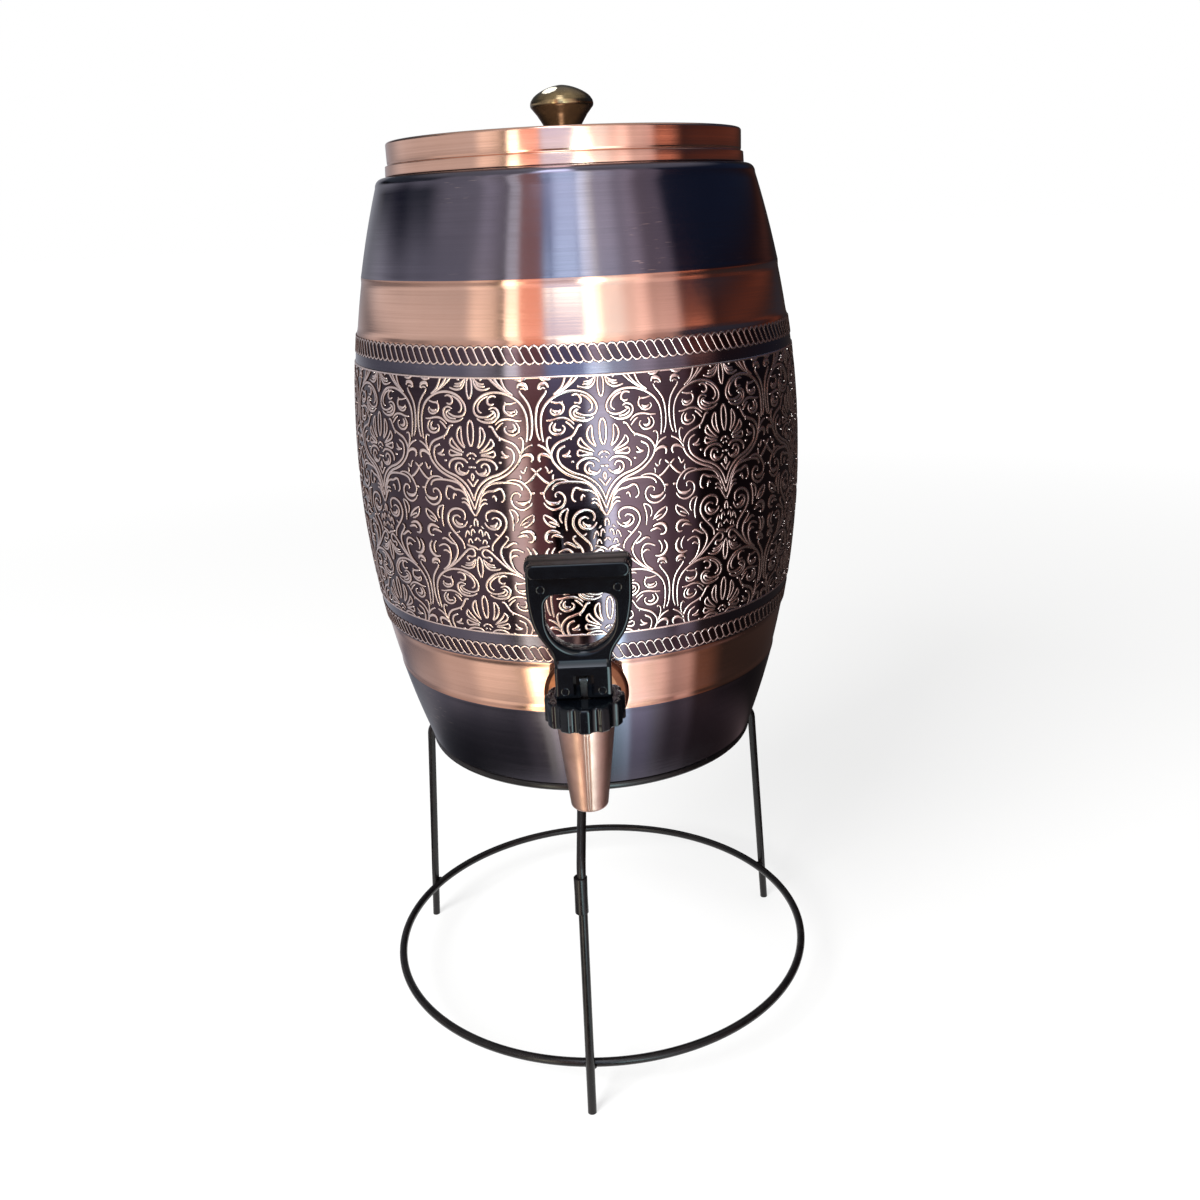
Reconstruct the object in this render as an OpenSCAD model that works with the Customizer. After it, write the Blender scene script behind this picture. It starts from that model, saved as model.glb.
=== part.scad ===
// Copper water dispenser: a bulged copper barrel with a lift-off lid and a lever tap, on a wire stand.
// Frame: the barrel's axis is Z, the stand's feet are on Z = 0, and the tap points along -Y.

/* [Stand] */
// Diameter of the stand's wire
wire_d = 4.2; // [3.4:0.1:5]
// Height of the ring that carries the barrel, to the wire's middle
ring_h = 153; // [120:1:200]
// How far the carrying ring lies in from the barrel's lower edge, to the wire's middle
ring_inset = 2.2; // [2:0.1:3.4]
// Radius of the ring that ties the legs together, to the wire's middle
base_ring_r = 110; // [98:1:125]
// Height of the ring that ties the legs together
base_ring_h = 23.5; // [15:0.5:40]
// Lean of the legs, inwards as they rise
leg_lean = 4.4; // [2:0.1:7]
// Bearing of the right leg, from +X
leg_right_turn = 31; // [20:1:40]
// Bearing of the left leg, from +X
leg_left_turn = 151; // [140:1:160]
// Bearing of the front leg, from +X
leg_front_turn = 266.6; // [255:0.2:285]
// How far below the carrying ring each leg bends in towards it
knee_drop = 27; // [20:1:35]
// Radius of the bend at a leg's knee
knee_bend_r = 10; // [8:0.5:16]
// Length of the sleeve that joins the two wires of the front leg
sleeve_len = 17; // [12:0.5:24]
// Outer radius of the sleeve
sleeve_r = 3.1; // [3:0.1:4]
// How far the sleeve's outside is off its bore
sleeve_off = 0.5; // [0:0.1:0.6]
// Gap round a wire in the sleeve
sleeve_fit = 0.1; // [0.05:0.05:0.2]

/* [Barrel] */
// Height of the barrel, from its base to its shoulder
barrel_h = 265.7; // [232:0.1:290]
// Radius of the barrel at its belly
belly_r = 105; // [95:0.5:118]
// Height of the belly above the barrel's base
belly_h = 135.6; // [120:0.2:150]
// Radius of the curve of the barrel's side
bow_r = 415; // [380:5:480]
// Thickness of the copper sheet
barrel_wall = 1.2; // [0.8:0.1:1.6]
// Rounding between the barrel's side and its shoulder
shoulder_round = 4; // [2.5:0.5:5]
// Width of each of the two rolled bands
band_w = 25; // [20:0.5:30]
// Depth of a rolled band
band_depth = 0.6; // [0.3:0.1:0.8]
// Width of a rolled band's sloping edge
band_edge = 1.2; // [0.8:0.1:2]
// Height of the lower band's lower edge above the base
lower_band_h = 41; // [34:0.5:50]
// Height of the upper band's lower edge above the base
upper_band_h = 199.4; // [180:0.2:203]
// Thickness of the base plate
base_t = 1.6; // [1:0.1:2.5]
// Height of the rim that the base plate is soldered by
base_rim_h = 5; // [3:0.5:8]
// How far the base plate's foot reaches down inside the carrying ring
foot_drop = 3; // [2:0.5:4]
// Width of the base plate's foot
foot_w = 2; // [1.5:0.1:3]
// Gap between the base plate's foot and the carrying ring
foot_gap = 1; // [0.6:0.1:1.5]

/* [Mouth and lid] */
// Height of the neck above the shoulder
neck_h = 9; // [7:0.5:10]
// How far the neck reaches down inside the barrel
neck_drop = 6; // [4:0.5:8]
// Thickness of the neck
neck_wall = 1.2; // [0.8:0.1:1.6]
// Height of the lid
lid_h = 14.3; // [13.5:0.1:18]
// How far the lid's lower edge lies in from the barrel's shoulder edge
lid_inset = 3.7; // [3.6:0.1:6]
// How much wider the lid is at its lower edge than at its top
lid_flare = 1.2; // [0.6:0.1:2]
// Height of the lid's flared lower band
lid_band_h = 5; // [4:0.2:7]
// Step between the lid's lower band and its upper skirt
lid_step = 0.5; // [0.3:0.1:0.6]
// Thickness of the lid's sheet
lid_wall = 1; // [0.7:0.1:1.4]
// Rounding of the lid's top edge
lid_round = 2.5; // [1.8:0.1:4]
// Gap between the lid and the neck
lid_fit = 0.4; // [0.3:0.1:0.8]

/* [Knob] */
// Radius of the knob at its edge
knob_r = 14.1; // [12:0.1:18]
// Height of the knob
knob_h = 21.6; // [18:0.2:28]
// Height of the knob's edge above the lid
knob_edge_h = 13.6; // [11:0.2:15]
// Thickness of the knob's edge
knob_edge_t = 1.6; // [1:0.1:2.4]
// Radius of the knob's neck
knob_neck_r = 7.3; // [6:0.1:9]
// Radius of the screw that holds the knob
screw_r = 2.5; // [2:0.1:3]
// How far the screw reaches into the knob
screw_depth = 9; // [6:0.5:11]
// Radius of the screw's head
screw_head_r = 4.6; // [4:0.1:5.6]
// Height of the screw's head
screw_head_h = 2.6; // [2:0.1:3.5]
// Radius of the washer under the lid
washer_r = 6.5; // [6:0.1:9]
// Thickness of the washer
washer_t = 1; // [0.6:0.1:1.6]
// Gap round the screw
screw_fit = 0.1; // [0.05:0.05:0.2]

/* [Tap body] */
// Height of the tap's shank above the barrel's base
tap_h = 53; // [48:0.5:60]
// Reach of the tap, from its escutcheon's back to the middle of its spout
tap_reach = 45.4; // [40:0.2:56]
// Radius of the shank
shank_r = 7; // [6.2:0.1:8]
// Radius of the shank's bore
shank_bore_r = 4.2; // [3.4:0.1:4.8]
// How far the shank reaches past its nut
shank_end = 2.5; // [1:0.5:5]
// Gap round the shank in the barrel's wall
shank_fit = 0.3; // [0.2:0.1:0.5]
// Radius of the escutcheon
escutcheon_r = 18.2; // [16:0.2:22]
// Thickness of the escutcheon at its edge
escutcheon_edge = 1; // [0.6:0.1:1.6]
// Thickness of the escutcheon at its middle
escutcheon_t = 3.2; // [2.4:0.1:4]
// Radius of the flange that presses on the escutcheon
flange_r = 10.5; // [9.5:0.1:12]
// Thickness of that flange
flange_t = 2.5; // [1.5:0.1:3.5]
// Radius of the rubber gaskets
gasket_r = 14.5; // [13:0.1:15.5]
// Least thickness of a gasket
gasket_t = 0.8; // [0.6:0.1:2]
// Width of the shank's nut across its flats
nut_af = 22; // [18:0.5:24]
// Thickness of the shank's nut
nut_t = 6.5; // [4:0.5:9]
// Radius of the spout where it leaves the bonnet
spout_top_r = 11.6; // [11.3:0.1:12.6]
// Radius of the spout at its tip
spout_tip_r = 7.5; // [7:0.1:9]
// How far the spout's tip lies below the shank
spout_drop = 29.4; // [24:0.2:36]
// Rounding of the spout's tip
tip_round = 3; // [1.5:0.1:3.2]
// Radius of the spout's outlet
outlet_r = 4.2; // [3.6:0.1:4.3]
// Radius of the tap's chamber
chamber_r = 8.8; // [8.4:0.1:9.2]
// Wall of the chamber inside the bonnet
chamber_wall = 2.2; // [1.8:0.1:2.4]
// Depth of the chamber's floor below the shank
seat_drop = 9; // [7:0.2:12]

/* [Bonnet and valve] */
// Radius of the bonnet over its lobes
bonnet_r = 15.7; // [15:0.1:18]
// Height of the bonnet
bonnet_h = 10; // [9:0.2:14]
// Thickness of the bonnet's top
bonnet_top = 2.2; // [1.8:0.1:3]
// Gap between the shank and the bonnet's lower edge
bonnet_gap = 1.3; // [1:0.1:3]
// Number of the bonnet's lobes
bonnet_lobes = 12; // [8:1:16]
// Radius of the hollow between two lobes
lobe_cut_r = 2.6; // [1.6:0.1:3]
// Depth of the hollow between two lobes
lobe_depth = 1.2; // [0.6:0.1:1.5]
// Chamfer of the bonnet's top edge
bonnet_chamfer = 1.2; // [0.6:0.1:2]
// Gap between the bonnet and the chamber's neck
bonnet_fit = 0.15; // [0.1:0.05:0.3]
// Radius of the valve's stem
stem_r = 2.2; // [1.8:0.1:2.6]
// Gap between the stem and the bonnet
stem_fit = 0.3; // [0.2:0.1:0.5]
// Radius of the seat cup's nose
nose_r = 6.2; // [5.6:0.1:7]
// Thickness of the seat cup's rim
cup_rim_t = 2.2; // [1.5:0.1:3]
// Gap between the seat cup's rim and the chamber
cup_fit = 0.4; // [0.3:0.1:0.6]
// Gap under the closed seat cup
seat_gap = 0.1; // [0.05:0.05:0.2]
// Diameter of the return spring's wire
spring_wire_d = 0.9; // [0.6:0.1:1.1]
// Radius of the return spring, to the wire's middle
spring_r = 5; // [4.4:0.1:5.8]
// Number of the return spring's turns
spring_turns = 4; // [3:0.5:4.5]

/* [Lever] */
// Width of the lever's grip
lever_w = 40; // [36:0.5:50]
// Height of the lever
lever_h = 55.8; // [52:0.2:66]
// Depth of the lever's grip bar
grip_d = 15; // [11:0.5:18]
// Height of the lever's grip bar
grip_h = 6; // [5:0.2:8]
// How far the grip bar reaches behind the lever's middle
grip_back = 5; // [4.2:0.1:6]
// Depth of the lever's open frame
frame_d = 8; // [6:0.2:9]
// Width of the lever's finger hole
hole_w = 26.6; // [22:0.2:29]
// Height of the lever's finger hole
hole_h = 22.4; // [18:0.2:23]
// Distance from the lever's top to its finger hole
hole_drop = 13.9; // [12.5:0.1:15]
// Rounding of the finger hole's upper corners
hole_round = 4; // [2:0.5:5]
// Width of the lever's foot block
block_w = 22; // [18:0.5:24]
// Depth of the lever's foot block
block_d = 12; // [10.6:0.2:14]
// Height of the lever's foot block
block_h = 12.5; // [11.6:0.1:14]
// Rounding of the foot block's lower corners, on which the lever rocks
cam_round = 2; // [1.2:0.1:2.4]
// How far the lever tilts forward, in degrees
lever_tilt = 35; // [20:1:40]
// Gap under the lever at rest
foot_lift = 0.2; // [0.1:0.05:0.4]
// Height of the lever's pin above the bonnet
pin_rise = 6.3; // [5.6:0.1:7]
// Radius of the lever's pin
pin_r = 1.5; // [1.2:0.1:1.8]
// Gap round the lever's pin
pin_fit = 0.05; // [0.02:0.01:0.08]
// How far the pin's ends lie inside the lever's sides
pin_inset = 0.6; // [0.2:0.1:1]
// Thickness of the stem's tang in the lever's slot
tang_t = 2.6; // [2:0.1:3.2]
// Depth of the stem's tang
tang_d = 5; // [4.4:0.1:5.4]
// Gap on each side of the tang
tang_fit = 0.2; // [0.15:0.05:0.4]
// Width of the shallow recess on each side of the lever's slot
groove_w = 2.5; // [2.2:0.1:3]
// Depth of those recesses
groove_d = 1.2; // [0.8:0.1:1.6]
// Distance of those recesses from the lever's middle
groove_x = 2.7; // [2.4:0.1:2.9]

/* [Hidden] */
$fn = 64;
// Gap between a loose piece and what it rests on
rest_gap = 0.3;
// Gap between soldered pieces
solder_gap = 0.05;
// How much a wire swells at a bend, and how far its straight runs reach into the bend
bend_swell = 0.05;
bend_lap = 0.2;
wire_r = wire_d / 2;
base_z = ring_h + wire_r + rest_gap;
top_z = base_z + barrel_h;

// Radius of the barrel's plain side at a height above its base
function bow(h) = belly_r - bow_r + sqrt(bow_r * bow_r - (h - belly_h) * (h - belly_h));

base_r = bow(0);
shoulder_r = bow(barrel_h);
ring_r = base_r - ring_inset;
// Radius of a leg's middle at a height
leg_ring_r = base_ring_r + wire_d + solder_gap;
function leg_r(z) = leg_ring_r - (z - base_ring_h) * tan(leg_lean);
knee_z = ring_h - knee_drop;

lid_low_r = shoulder_r - lid_inset;
lid_top_r = lid_low_r - lid_flare;
neck_r = lid_top_r - lid_wall - lid_fit;
lid_z = top_z + rest_gap;
lid_top_z = lid_z + lid_h;

tap_z = base_z + tap_h;
face_y = bow(min(belly_h, tap_h + escutcheon_r)) + gasket_t;
tap_y = face_y + tap_reach;
inner_y = bow(tap_h - gasket_r) - barrel_wall - band_depth - gasket_t;
nut_y = inner_y - nut_t;
bonnet_z = tap_z + shank_r + bonnet_gap;
bonnet_top_z = bonnet_z + bonnet_h;
chamber_top_z = bonnet_top_z - bonnet_top - bonnet_fit;
seat_z = tap_z - seat_drop;
cup_rim_z = tap_z + shank_bore_r + 1;
spring_low_z = cup_rim_z + cup_rim_t + bonnet_fit;
spring_top_z = bonnet_top_z - bonnet_top - bonnet_fit;
spring_pitch = (spring_top_z - spring_low_z - spring_wire_d) / spring_turns;
lever_z = bonnet_top_z + foot_lift;
pin_z = bonnet_top_z + pin_rise;
pin_up = pin_z - lever_z;
// How far the tilting foot's round corner dips, and where the stem's flats begin to let it pass
foot_dip = (block_d / 2 - cam_round) * sin(lever_tilt) + (pin_up - cam_round) * cos(lever_tilt) + cam_round - pin_up;
flat_z = lever_z - max(0, foot_dip) - rest_gap;

copper = "#c07a52";
dark_copper = "#3a3138";
brass_tone = "#8a7a55";
black = "#16181c";
steel_tone = "#b9bcc0";
rubber_tone = "#2b2b2b";

// Shapes that several pieces share

module wire_ring(r, z) {
    translate([0, 0, z]) rotate_extrude() translate([r, 0]) circle(wire_r);
}

// Straight wire between two points [r, z] of a leg's plane
module wire_run(a, b) {
    d = b - a;
    translate([a[0], 0, a[1]]) rotate([0, atan2(d[0], d[1]), 0]) cylinder(r = wire_r, h = norm(d));
}

// Wire from a to b with a round bend near k, all points [r, z] of a leg's plane
module bent_wire(a, k, b, bend_r) {
    turn_in = atan2(k[1] - a[1], k[0] - a[0]);
    turn_out = atan2(b[1] - k[1], b[0] - k[0]);
    set_back = bend_r * tan((turn_out - turn_in) / 2);
    low = k - set_back * [cos(turn_in), sin(turn_in)];
    high = k + set_back * [cos(turn_out), sin(turn_out)];
    middle = low + bend_r * [-sin(turn_in), cos(turn_in)];
    lap_in = bend_lap * [cos(turn_in), sin(turn_in)];
    lap_out = bend_lap * [cos(turn_out), sin(turn_out)];
    wire_run(a, low + lap_in);
    translate([middle[0], 0, middle[1]]) rotate([90, 0, 0]) rotate([0, 0, turn_in - 90])
        rotate_extrude(angle = turn_out - turn_in) translate([bend_r, 0]) circle(wire_r + bend_swell);
    wire_run(high - lap_out, b);
}

// One leg's wire, from a height upwards to the carrying ring, which its end meets
module leg_wire(from_z) {
    knee = [leg_r(knee_z), knee_z];
    way = [ring_r, ring_h] - knee;
    end = [ring_r, ring_h] - way / norm(way) * (wire_r + solder_gap);
    bent_wire([leg_r(from_z), from_z], knee, end, knee_bend_r);
}

// Cuts a leg's foot flat where it stands
module flat_foot() {
    difference() {
        children();
        translate([leg_r(0) - wire_d, -wire_d, -2 * wire_d]) cube(2 * wire_d);
    }
}

// Points of the barrel's plain side between two heights above its base
function side(h0, h1, inset, steps) =
    [for (i = [0:steps]) let (h = h0 + (h1 - h0) * i / steps) [bow(h) - inset, h]];

// Points of the rounded corner between the barrel's side and its shoulder
corner_h = barrel_h - shoulder_round;
corner_turn = asin((corner_h - belly_h) / bow_r);
corner_h0 = corner_h + shoulder_round * sin(corner_turn);
corner_x = bow(corner_h0) - shoulder_round * cos(corner_turn);
function corner(inset) =
    [for (i = [0:6]) let (a = corner_turn + (90 - corner_turn) * i / 6)
        [corner_x + (shoulder_round - inset) * cos(a), corner_h + (shoulder_round - inset) * sin(a)]];

// Outline of the barrel from its base to its shoulder, set in by a thickness
function barrel_outline(inset) = concat(
    side(0, lower_band_h, inset, 4),
    side(lower_band_h + band_edge, lower_band_h + band_w - band_edge, inset + band_depth, 3),
    side(lower_band_h + band_w, upper_band_h, inset, 14),
    side(upper_band_h + band_edge, upper_band_h + band_w - band_edge, inset + band_depth, 3),
    side(upper_band_h + band_w, corner_h0 - 0.5, inset, 4),
    corner(inset)
);

// The barrel filled in, set in by a thickness
module barrel_solid(inset) {
    translate([0, 0, base_z]) rotate_extrude($fn = 256)
        polygon(concat([[0, 0]], barrel_outline(inset), [[0, barrel_h - inset]]));
}

// Turns a shape built along +Z to lie along the tap's shank, outwards from the barrel's axis
module along_shank() {
    translate([0, 0, tap_z]) rotate([90, 0, 0]) children();
}

// Moves a shape to the spout's axis
module at_spout() {
    translate([0, -tap_y, 0]) children();
}

// Stand

module stand_top_ring() {
    color(black) wire_ring(ring_r, ring_h);
}

module stand_base_ring() {
    color(black) wire_ring(base_ring_r, base_ring_h);
}

// The front leg is two wires that meet in the sleeve, which ends just below the knee
knee_turn = atan2(knee_drop, ring_r - leg_r(knee_z)) - 90 - leg_lean;
sleeve_top_z = knee_z - knee_bend_r * tan(knee_turn / 2) - 1;
sleeve_z = sleeve_top_z - sleeve_len;
joint_z = sleeve_z + sleeve_len / 2;

module leg_front() {
    color(black) rotate([0, 0, leg_front_turn])
        flat_foot() wire_run([leg_r(-wire_r), -wire_r], [leg_r(joint_z), joint_z]);
}

module leg_front_stub() {
    color(black) rotate([0, 0, leg_front_turn]) leg_wire(joint_z + solder_gap);
}

module leg_sleeve() {
    color(black) rotate([0, 0, leg_front_turn]) translate([leg_r(sleeve_z), 0, sleeve_z])
        rotate([0, -leg_lean, 0]) difference() {
            translate([0, -sleeve_off, 0]) cylinder(r = sleeve_r, h = sleeve_len);
            translate([0, 0, -1]) cylinder(r = wire_r + sleeve_fit, h = sleeve_len + 2);
        }
}

module leg_left() {
    color(black) rotate([0, 0, leg_left_turn]) flat_foot() leg_wire(-wire_r);
}

module leg_right() {
    color(black) rotate([0, 0, leg_right_turn]) flat_foot() leg_wire(-wire_r);
}

// Barrel

module barrel_shell() {
    color(dark_copper) difference() {
        translate([0, 0, base_z]) rotate_extrude() polygon(concat(
            barrel_outline(0),
            [[neck_r + solder_gap, barrel_h], [neck_r + solder_gap, barrel_h - barrel_wall]],
            reversed(barrel_outline(barrel_wall))
        ));
        along_shank() translate([0, 0, inner_y - 4]) cylinder(r = shank_r + shank_fit, h = tap_reach);
    }
}

function reversed(list) = [for (i = [len(list) - 1:-1:0]) list[i]];

module base_plate() {
    plate_r = function(h) bow(h) - barrel_wall - solder_gap;
    foot_r = ring_r - wire_r - foot_gap;
    color(dark_copper) translate([0, 0, base_z]) rotate_extrude() polygon([
        [0, 0], [foot_r - foot_w, 0], [foot_r - foot_w, -foot_drop], [foot_r, -foot_drop], [foot_r, 0],
        [plate_r(0), 0], [plate_r(base_rim_h), base_rim_h], [plate_r(base_rim_h) - base_t, base_rim_h],
        [plate_r(base_t) - base_t, base_t], [0, base_t]
    ]);
}

module mouth_neck() {
    lip = neck_wall / 2;
    color(copper) translate([0, 0, top_z]) rotate_extrude() {
        translate([neck_r - neck_wall, -neck_drop]) square([neck_wall, neck_drop + neck_h]);
        translate([neck_r - lip, neck_h]) circle(lip);
    }
}

// Lid

module lid_cap() {
    step_r = lid_top_r + lid_step;
    color(copper) translate([0, 0, lid_z]) difference() {
        rotate_extrude() polygon(concat(
            [[0, 0], [lid_low_r, 0], [step_r, lid_band_h], [lid_top_r, lid_band_h + lid_step]],
            [for (a = [0:15:90])
                [lid_top_r - lid_round + lid_round * cos(a), lid_h - lid_round + lid_round * sin(a)]],
            [[0, lid_h]]
        ));
        rotate_extrude() polygon(concat(
            [[0, -1], [lid_low_r - lid_wall, -1], [lid_low_r - lid_wall, 0], [step_r - lid_wall, lid_band_h],
                [lid_top_r - lid_wall, lid_band_h + lid_step]],
            [for (a = [0:15:90])
                [lid_top_r - lid_round + (lid_round - lid_wall) * cos(a),
                    lid_h - lid_round + (lid_round - lid_wall) * sin(a)]],
            [[0, lid_h - lid_wall]]
        ));
        cylinder(r = screw_r + screw_fit, h = lid_h + 1);
    }
}

module lid_knob() {
    crown = knob_h - knob_edge_h - knob_edge_t / 2;
    waist = knob_edge_h - knob_edge_t / 2;
    color(brass_tone) translate([0, 0, lid_top_z]) difference() {
        rotate_extrude() polygon(concat(
            [[0, 0], [knob_neck_r + 0.3, 0], [knob_neck_r, 1.5]],
            [for (t = [0:0.2:1])
                [knob_neck_r + (knob_r - knob_neck_r - 0.3) * (0.55 * t + 0.45 * t * t), 3 + (waist - 3) * t]],
            [[knob_r, knob_edge_h]],
            [for (t = [0:0.125:1])
                [(knob_r - 0.3) * pow(cos(90 * t), 1.45), knob_edge_h + knob_edge_t / 2 + crown * pow(sin(90 * t), 1.7)]]
        ));
        translate([0, 0, -1]) cylinder(r = screw_r + solder_gap, h = screw_depth + 1.5);
    }
}

module knob_washer() {
    color(brass_tone) translate([0, 0, lid_top_z - lid_wall - washer_t]) difference() {
        cylinder(r = washer_r, h = washer_t);
        translate([0, 0, -1]) cylinder(r = screw_r + screw_fit, h = washer_t + 2);
    }
}

module knob_screw() {
    head_z = lid_top_z - lid_wall - washer_t - screw_head_h;
    color(steel_tone) translate([0, 0, head_z]) difference() {
        union() {
            cylinder(r = screw_head_r, h = screw_head_h);
            cylinder(r = screw_r, h = screw_head_h + washer_t + lid_wall + screw_depth);
        }
        translate([-screw_head_r, -0.6, -1]) cube([2 * screw_head_r, 1.2, 2.2]);
    }
}

// Tap

module tap_escutcheon() {
    hole_r = shank_r + solder_gap;
    color(copper) along_shank() translate([0, 0, face_y]) rotate_extrude() polygon([
        [hole_r, 0], [escutcheon_r, 0], [escutcheon_r, escutcheon_edge],
        [(escutcheon_r + flange_r) / 2, escutcheon_edge + 0.7 * (escutcheon_t - escutcheon_edge)],
        [flange_r, escutcheon_t], [hole_r, escutcheon_t]
    ]);
}

module outer_gasket() {
    color(rubber_tone) difference() {
        along_shank() translate([0, 0, inner_y]) cylinder(r = gasket_r, h = face_y - inner_y);
        along_shank() translate([0, 0, inner_y - 1]) cylinder(r = shank_r + solder_gap, h = tap_reach);
        barrel_solid(0);
    }
}

module inner_gasket() {
    color(rubber_tone) intersection() {
        along_shank() translate([0, 0, inner_y]) difference() {
            cylinder(r = gasket_r, h = face_y - inner_y);
            translate([0, 0, -1]) cylinder(r = shank_r + solder_gap, h = tap_reach);
        }
        barrel_solid(barrel_wall);
    }
}

module shank_nut() {
    color("#e4e2dc") along_shank() translate([0, 0, nut_y]) difference() {
        cylinder(d = nut_af / cos(30), h = nut_t, $fn = 6);
        translate([0, 0, -1]) cylinder(r = shank_r + solder_gap, h = nut_t + 2);
    }
}

module tap_body() {
    neck_of_chamber = chamber_r + chamber_wall;
    tip_z = tap_z - spout_drop;
    shank_from = nut_y - shank_end;
    root_y = face_y + escutcheon_t;
    color(copper) difference() {
        union() {
            along_shank() translate([0, 0, shank_from]) cylinder(r = shank_r, h = tap_y - shank_from);
            along_shank() translate([0, 0, root_y]) cylinder(r = flange_r, h = flange_t);
            at_spout() rotate_extrude() polygon(concat(
                [[0, tip_z]],
                [for (a = [-90:15:0])
                    [spout_tip_r - tip_round + tip_round * cos(a), tip_z + tip_round + tip_round * sin(a)]],
                [[spout_top_r, bonnet_z - bonnet_fit], [neck_of_chamber, bonnet_z - bonnet_fit],
                    [neck_of_chamber, chamber_top_z], [0, chamber_top_z]]
            ));
        }
        along_shank() translate([0, 0, shank_from - 1]) cylinder(r = shank_bore_r, h = tap_y - shank_from + 1);
        at_spout() translate([0, 0, seat_z]) cylinder(r = chamber_r, h = 2 * bonnet_h + spout_drop);
        at_spout() translate([0, 0, tip_z - 1]) cylinder(r = outlet_r, h = spout_drop + 2);
    }
}

module bonnet_cap() {
    bore_r = chamber_r + chamber_wall + bonnet_fit;
    color(black) at_spout() translate([0, 0, bonnet_z]) difference() {
        intersection() {
            linear_extrude(bonnet_h) difference() {
                circle(bonnet_r);
                for (i = [0:bonnet_lobes - 1]) rotate((i + 0.5) * 360 / bonnet_lobes)
                    translate([bonnet_r + lobe_cut_r - lobe_depth, 0]) circle(lobe_cut_r);
            }
            union() {
                cylinder(r = bonnet_r + 1, h = bonnet_h - bonnet_chamfer);
                translate([0, 0, bonnet_h - bonnet_chamfer])
                    cylinder(r1 = bonnet_r, r2 = bonnet_r - bonnet_chamfer, h = bonnet_chamfer);
            }
        }
        translate([0, 0, -1]) cylinder(r = bore_r, h = bonnet_h - bonnet_top + 1);
        cylinder(r = stem_r + stem_fit, h = bonnet_h + 1);
    }
}

// Valve

module valve_stem() {
    stem_low_z = cup_rim_z - (cup_rim_z - seat_z) / 2;
    tang_z = bonnet_top_z + foot_lift;
    color(black) at_spout() difference() {
        union() {
            translate([0, 0, stem_low_z]) cylinder(r = stem_r, h = tang_z - stem_low_z + 1);
            translate([-tang_t / 2, -tang_d / 2, tang_z]) cube([tang_t, tang_d, pin_z - tang_z]);
            translate([-tang_t / 2, 0, pin_z]) rotate([0, 90, 0]) cylinder(d = tang_d, h = tang_t);
        }
        translate([-tang_t, 0, pin_z]) rotate([0, 90, 0]) cylinder(r = pin_r + pin_fit, h = 2 * tang_t);
        for (s = [-1, 1]) translate([s * (tang_t / 2 + stem_r) - stem_r, -tang_d, flat_z])
            cube([2 * stem_r, 2 * tang_d, tang_z + 2 * stem_r - flat_z]);
    }
}

module seat_cup() {
    stem_low_z = cup_rim_z - (cup_rim_z - seat_z) / 2;
    color("#d9d6cf") at_spout() difference() {
        rotate_extrude() polygon([
            [0, seat_z + seat_gap], [nose_r - 0.8, seat_z + seat_gap], [nose_r, seat_z + seat_gap + 0.8],
            [nose_r, cup_rim_z], [chamber_r - cup_fit, cup_rim_z],
            [chamber_r - cup_fit, cup_rim_z + cup_rim_t], [0, cup_rim_z + cup_rim_t]
        ]);
        translate([0, 0, stem_low_z]) cylinder(r = stem_r + solder_gap, h = bonnet_h + cup_rim_t);
    }
}

// Points of the spring's tube: rings of points along a helix
spring_sides = 6;
spring_rings = floor(8 * spring_turns);
function spring_point(i, j) =
    let (
        turn = 360 * spring_turns * i / spring_rings,
        z = spring_low_z + spring_wire_d / 2 + spring_pitch * spring_turns * i / spring_rings,
        a = 360 * j / spring_sides,
        r = spring_r + spring_wire_d / 2 * cos(a)
    ) [r * cos(turn), r * sin(turn), z + spring_wire_d / 2 * sin(a)];

module return_spring() {
    n = spring_sides;
    points = [for (i = [0:spring_rings], j = [0:n - 1]) spring_point(i, j)];
    walls = [for (i = [0:spring_rings - 1], j = [0:n - 1], k = [0, 1])
        let (a = i * n + j, b = i * n + (j + 1) % n) k == 0 ? [a, b, b + n] : [a, b + n, a + n]];
    first = [for (j = [1:n - 2]) [0, j + 1, j]];
    last_0 = spring_rings * n;
    last = [for (j = [1:n - 2]) [last_0, last_0 + j, last_0 + j + 1]];
    echo(least_gap_between_turns = spring_pitch - spring_wire_d);
    color(steel_tone) at_spout() polyhedron(points, concat(walls, first, last));
}

// Lever

module lever_pin() {
    color(steel_tone) at_spout() translate([pin_inset - block_w / 2, 0, pin_z]) rotate([0, 90, 0])
        cylinder(r = pin_r, h = block_w - 2 * pin_inset);
}

// Rounded rectangle from [x0, y0], of width w and height h
module rounded(x0, y0, w, h, r) {
    translate([x0 + r, y0]) square([w - 2 * r, h]);
    translate([x0, y0 + r]) square([w, h - 2 * r]);
    for (x = [x0 + r, x0 + w - r], y = [y0 + r, y0 + h - r]) translate([x, y]) circle(r);
}

// Front outline of the lever from its foot to its grip
module lever_front() {
    half_low = block_w / 2;
    half_top = lever_w / 2;
    swell_h = lever_h - grip_h - 12;
    points = [for (t = [0:0.1:1.01])
        let (s = 1 - t, x0 = s * s * s + 3 * s * s * t, x1 = 3 * s * t * t + t * t * t)
        [half_low * x0 + half_top * x1,
            s * s * s * block_h + 3 * s * s * t * (block_h + 7.5) + 3 * s * t * t * (block_h + 13.5) + t * t * t * swell_h]];
    difference() {
        union() {
            polygon(concat(
                [[0, 0], [half_low, 0]], points, [[half_top, lever_h - grip_h / 2], [-half_top, lever_h - grip_h / 2]],
                [for (p = reversed(points)) [-p[0], p[1]]], [[-half_low, 0]]
            ));
        }
        lever_hole();
    }
}

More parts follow.
